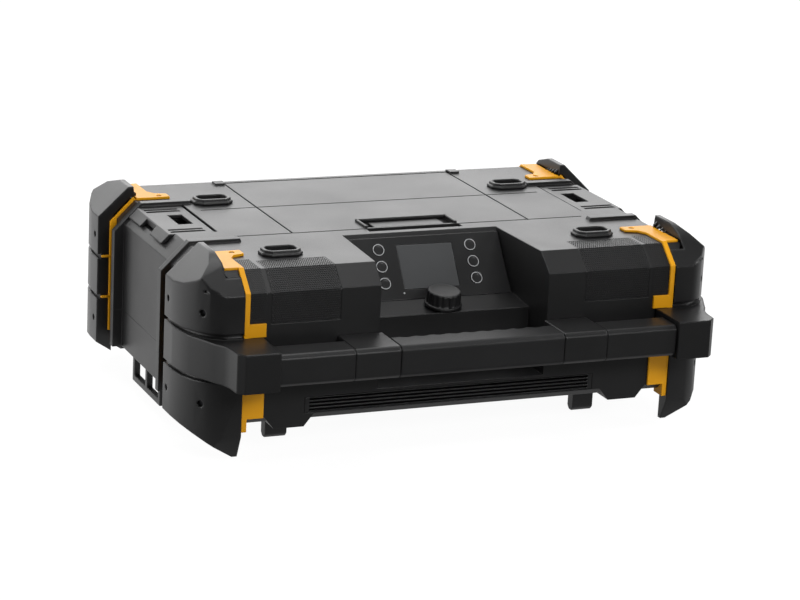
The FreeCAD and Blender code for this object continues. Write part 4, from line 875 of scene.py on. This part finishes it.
def frontToRear(tree, depth, span, values):
    # a smooth change of brightness along the depth
    node = tree.nodes.new("ShaderNodeMapRange")
    node.interpolation_type = "SMOOTHSTEP"
    node.inputs["From Min"].default_value, node.inputs["From Max"].default_value = span
    node.inputs["To Min"].default_value, node.inputs["To Max"].default_value = values
    tree.links.new(depth, node.inputs["Value"])
    return node.outputs["Result"]


def makeFloor(settings):
    mesh = bpy.data.meshes.new("floor")
    reach = settings["floorReach"]
    mesh.from_pydata([(-reach, -reach, 0), (reach, -reach, 0), (reach, reach, 0), (-reach, reach, 0)], [],
                     [(0, 1, 2, 3)])
    floor = addObject("floor", mesh)
    material = bpy.data.materials.new("paleFloor")
    material.use_nodes = True
    tree = material.node_tree
    shader = tree.nodes["Principled BSDF"]
    tone = settings["floor"]
    shader.inputs["Base Color"].default_value = (tone, tone, tone, 1)
    shader.inputs["Roughness"].default_value = settings["floorRough"]
    path = tree.nodes.new("ShaderNodeLightPath")
    seen = tree.nodes.new("ShaderNodeMath")
    seen.operation = "MAXIMUM"
    tree.links.new(path.outputs["Is Camera Ray"], seen.inputs[0])
    tree.links.new(path.outputs["Is Transmission Ray"], seen.inputs[1])
    share = tree.nodes.new("ShaderNodeMath")
    share.operation = "MULTIPLY"
    share.inputs[1].default_value = settings["whiteShare"]
    tree.links.new(seen.outputs[0], share.inputs[0])
    white = tree.nodes.new("ShaderNodeEmission")
    white.inputs["Strength"].default_value = settings["white"]
    brighten = tree.nodes.new("ShaderNodeMixShader")
    tree.links.new(share.outputs[0], brighten.inputs["Fac"])
    tree.links.new(shader.outputs["BSDF"], brighten.inputs[1])
    tree.links.new(white.outputs["Emission"], brighten.inputs[2])
    # what the glossy parts mirror: dim in front of the object, bright behind it
    dim = tree.nodes.new("ShaderNodeEmission")
    position = tree.nodes.new("ShaderNodeTexCoord")
    split = tree.nodes.new("ShaderNodeSeparateXYZ")
    tree.links.new(position.outputs["Object"], split.inputs[0])
    brightness = frontToRear(tree, split.outputs["Y"], (settings["sheenFrom"], settings["sheenTo"]),
                             (settings["sheenFront"], settings["sheenRear"]))
    tree.links.new(brightness, dim.inputs["Strength"])
    mirrored = tree.nodes.new("ShaderNodeMixShader")
    tree.links.new(path.outputs["Is Glossy Ray"], mirrored.inputs["Fac"])
    tree.links.new(brighten.outputs["Shader"], mirrored.inputs[1])
    tree.links.new(dim.outputs["Emission"], mirrored.inputs[2])
    tree.links.new(mirrored.outputs["Shader"], tree.nodes["Material Output"].inputs["Surface"])
    mesh.materials.append(material)


def makeWorld(settings):
    # a glow that is strong behind the object and weak in front of it
    world = bpy.data.worlds.new("studioWorld")
    bpy.context.scene.world = world
    world.use_nodes = True
    tree = world.node_tree
    tree.nodes.clear()
    out = tree.nodes.new("ShaderNodeOutputWorld")
    place = tree.nodes.new("ShaderNodeTexCoord")
    split = tree.nodes.new("ShaderNodeSeparateXYZ")
    tree.links.new(place.outputs["Generated"], split.inputs[0])
    glow = frontToRear(tree, split.outputs["Y"], (settings["glowFrom"], settings["glowTo"]),
                       (settings["frontGlow"], settings["rearGlow"]))
    ambient = tree.nodes.new("ShaderNodeBackground")
    ambient.inputs["Color"].default_value = (1, 1, 1, 1)
    tree.links.new(glow, ambient.inputs["Strength"])
    seen = tree.nodes.new("ShaderNodeBackground")
    seen.inputs["Color"].default_value = (1, 1, 1, 1)
    seen.inputs["Strength"].default_value = 1.0
    path = tree.nodes.new("ShaderNodeLightPath")
    mix = tree.nodes.new("ShaderNodeMixShader")
    tree.links.new(path.outputs["Is Camera Ray"], mix.inputs["Fac"])
    tree.links.new(ambient.outputs["Background"], mix.inputs[1])
    tree.links.new(seen.outputs["Background"], mix.inputs[2])
    tree.links.new(mix.outputs["Shader"], out.inputs["Surface"])


def areaLamp(name, place, size, power):
    data = bpy.data.lights.new(name, "AREA")
    data.shape = "RECTANGLE"
    data.size = size[0]
    data.size_y = size[1]
    data.energy = power
    lamp = addObject(name, data)
    lamp.location = place
    lamp.rotation_mode = "QUATERNION"
    target = Vector(studio["aim"])
    lamp.rotation_quaternion = (target - Vector(place)).to_track_quat("-Z", "Y")


makeFloor(studio)
makeWorld(studio)
for lampName, values in lamps.items():
    areaLamp(lampName, values["place"], values["size"], values["power"])
print("studio ready")
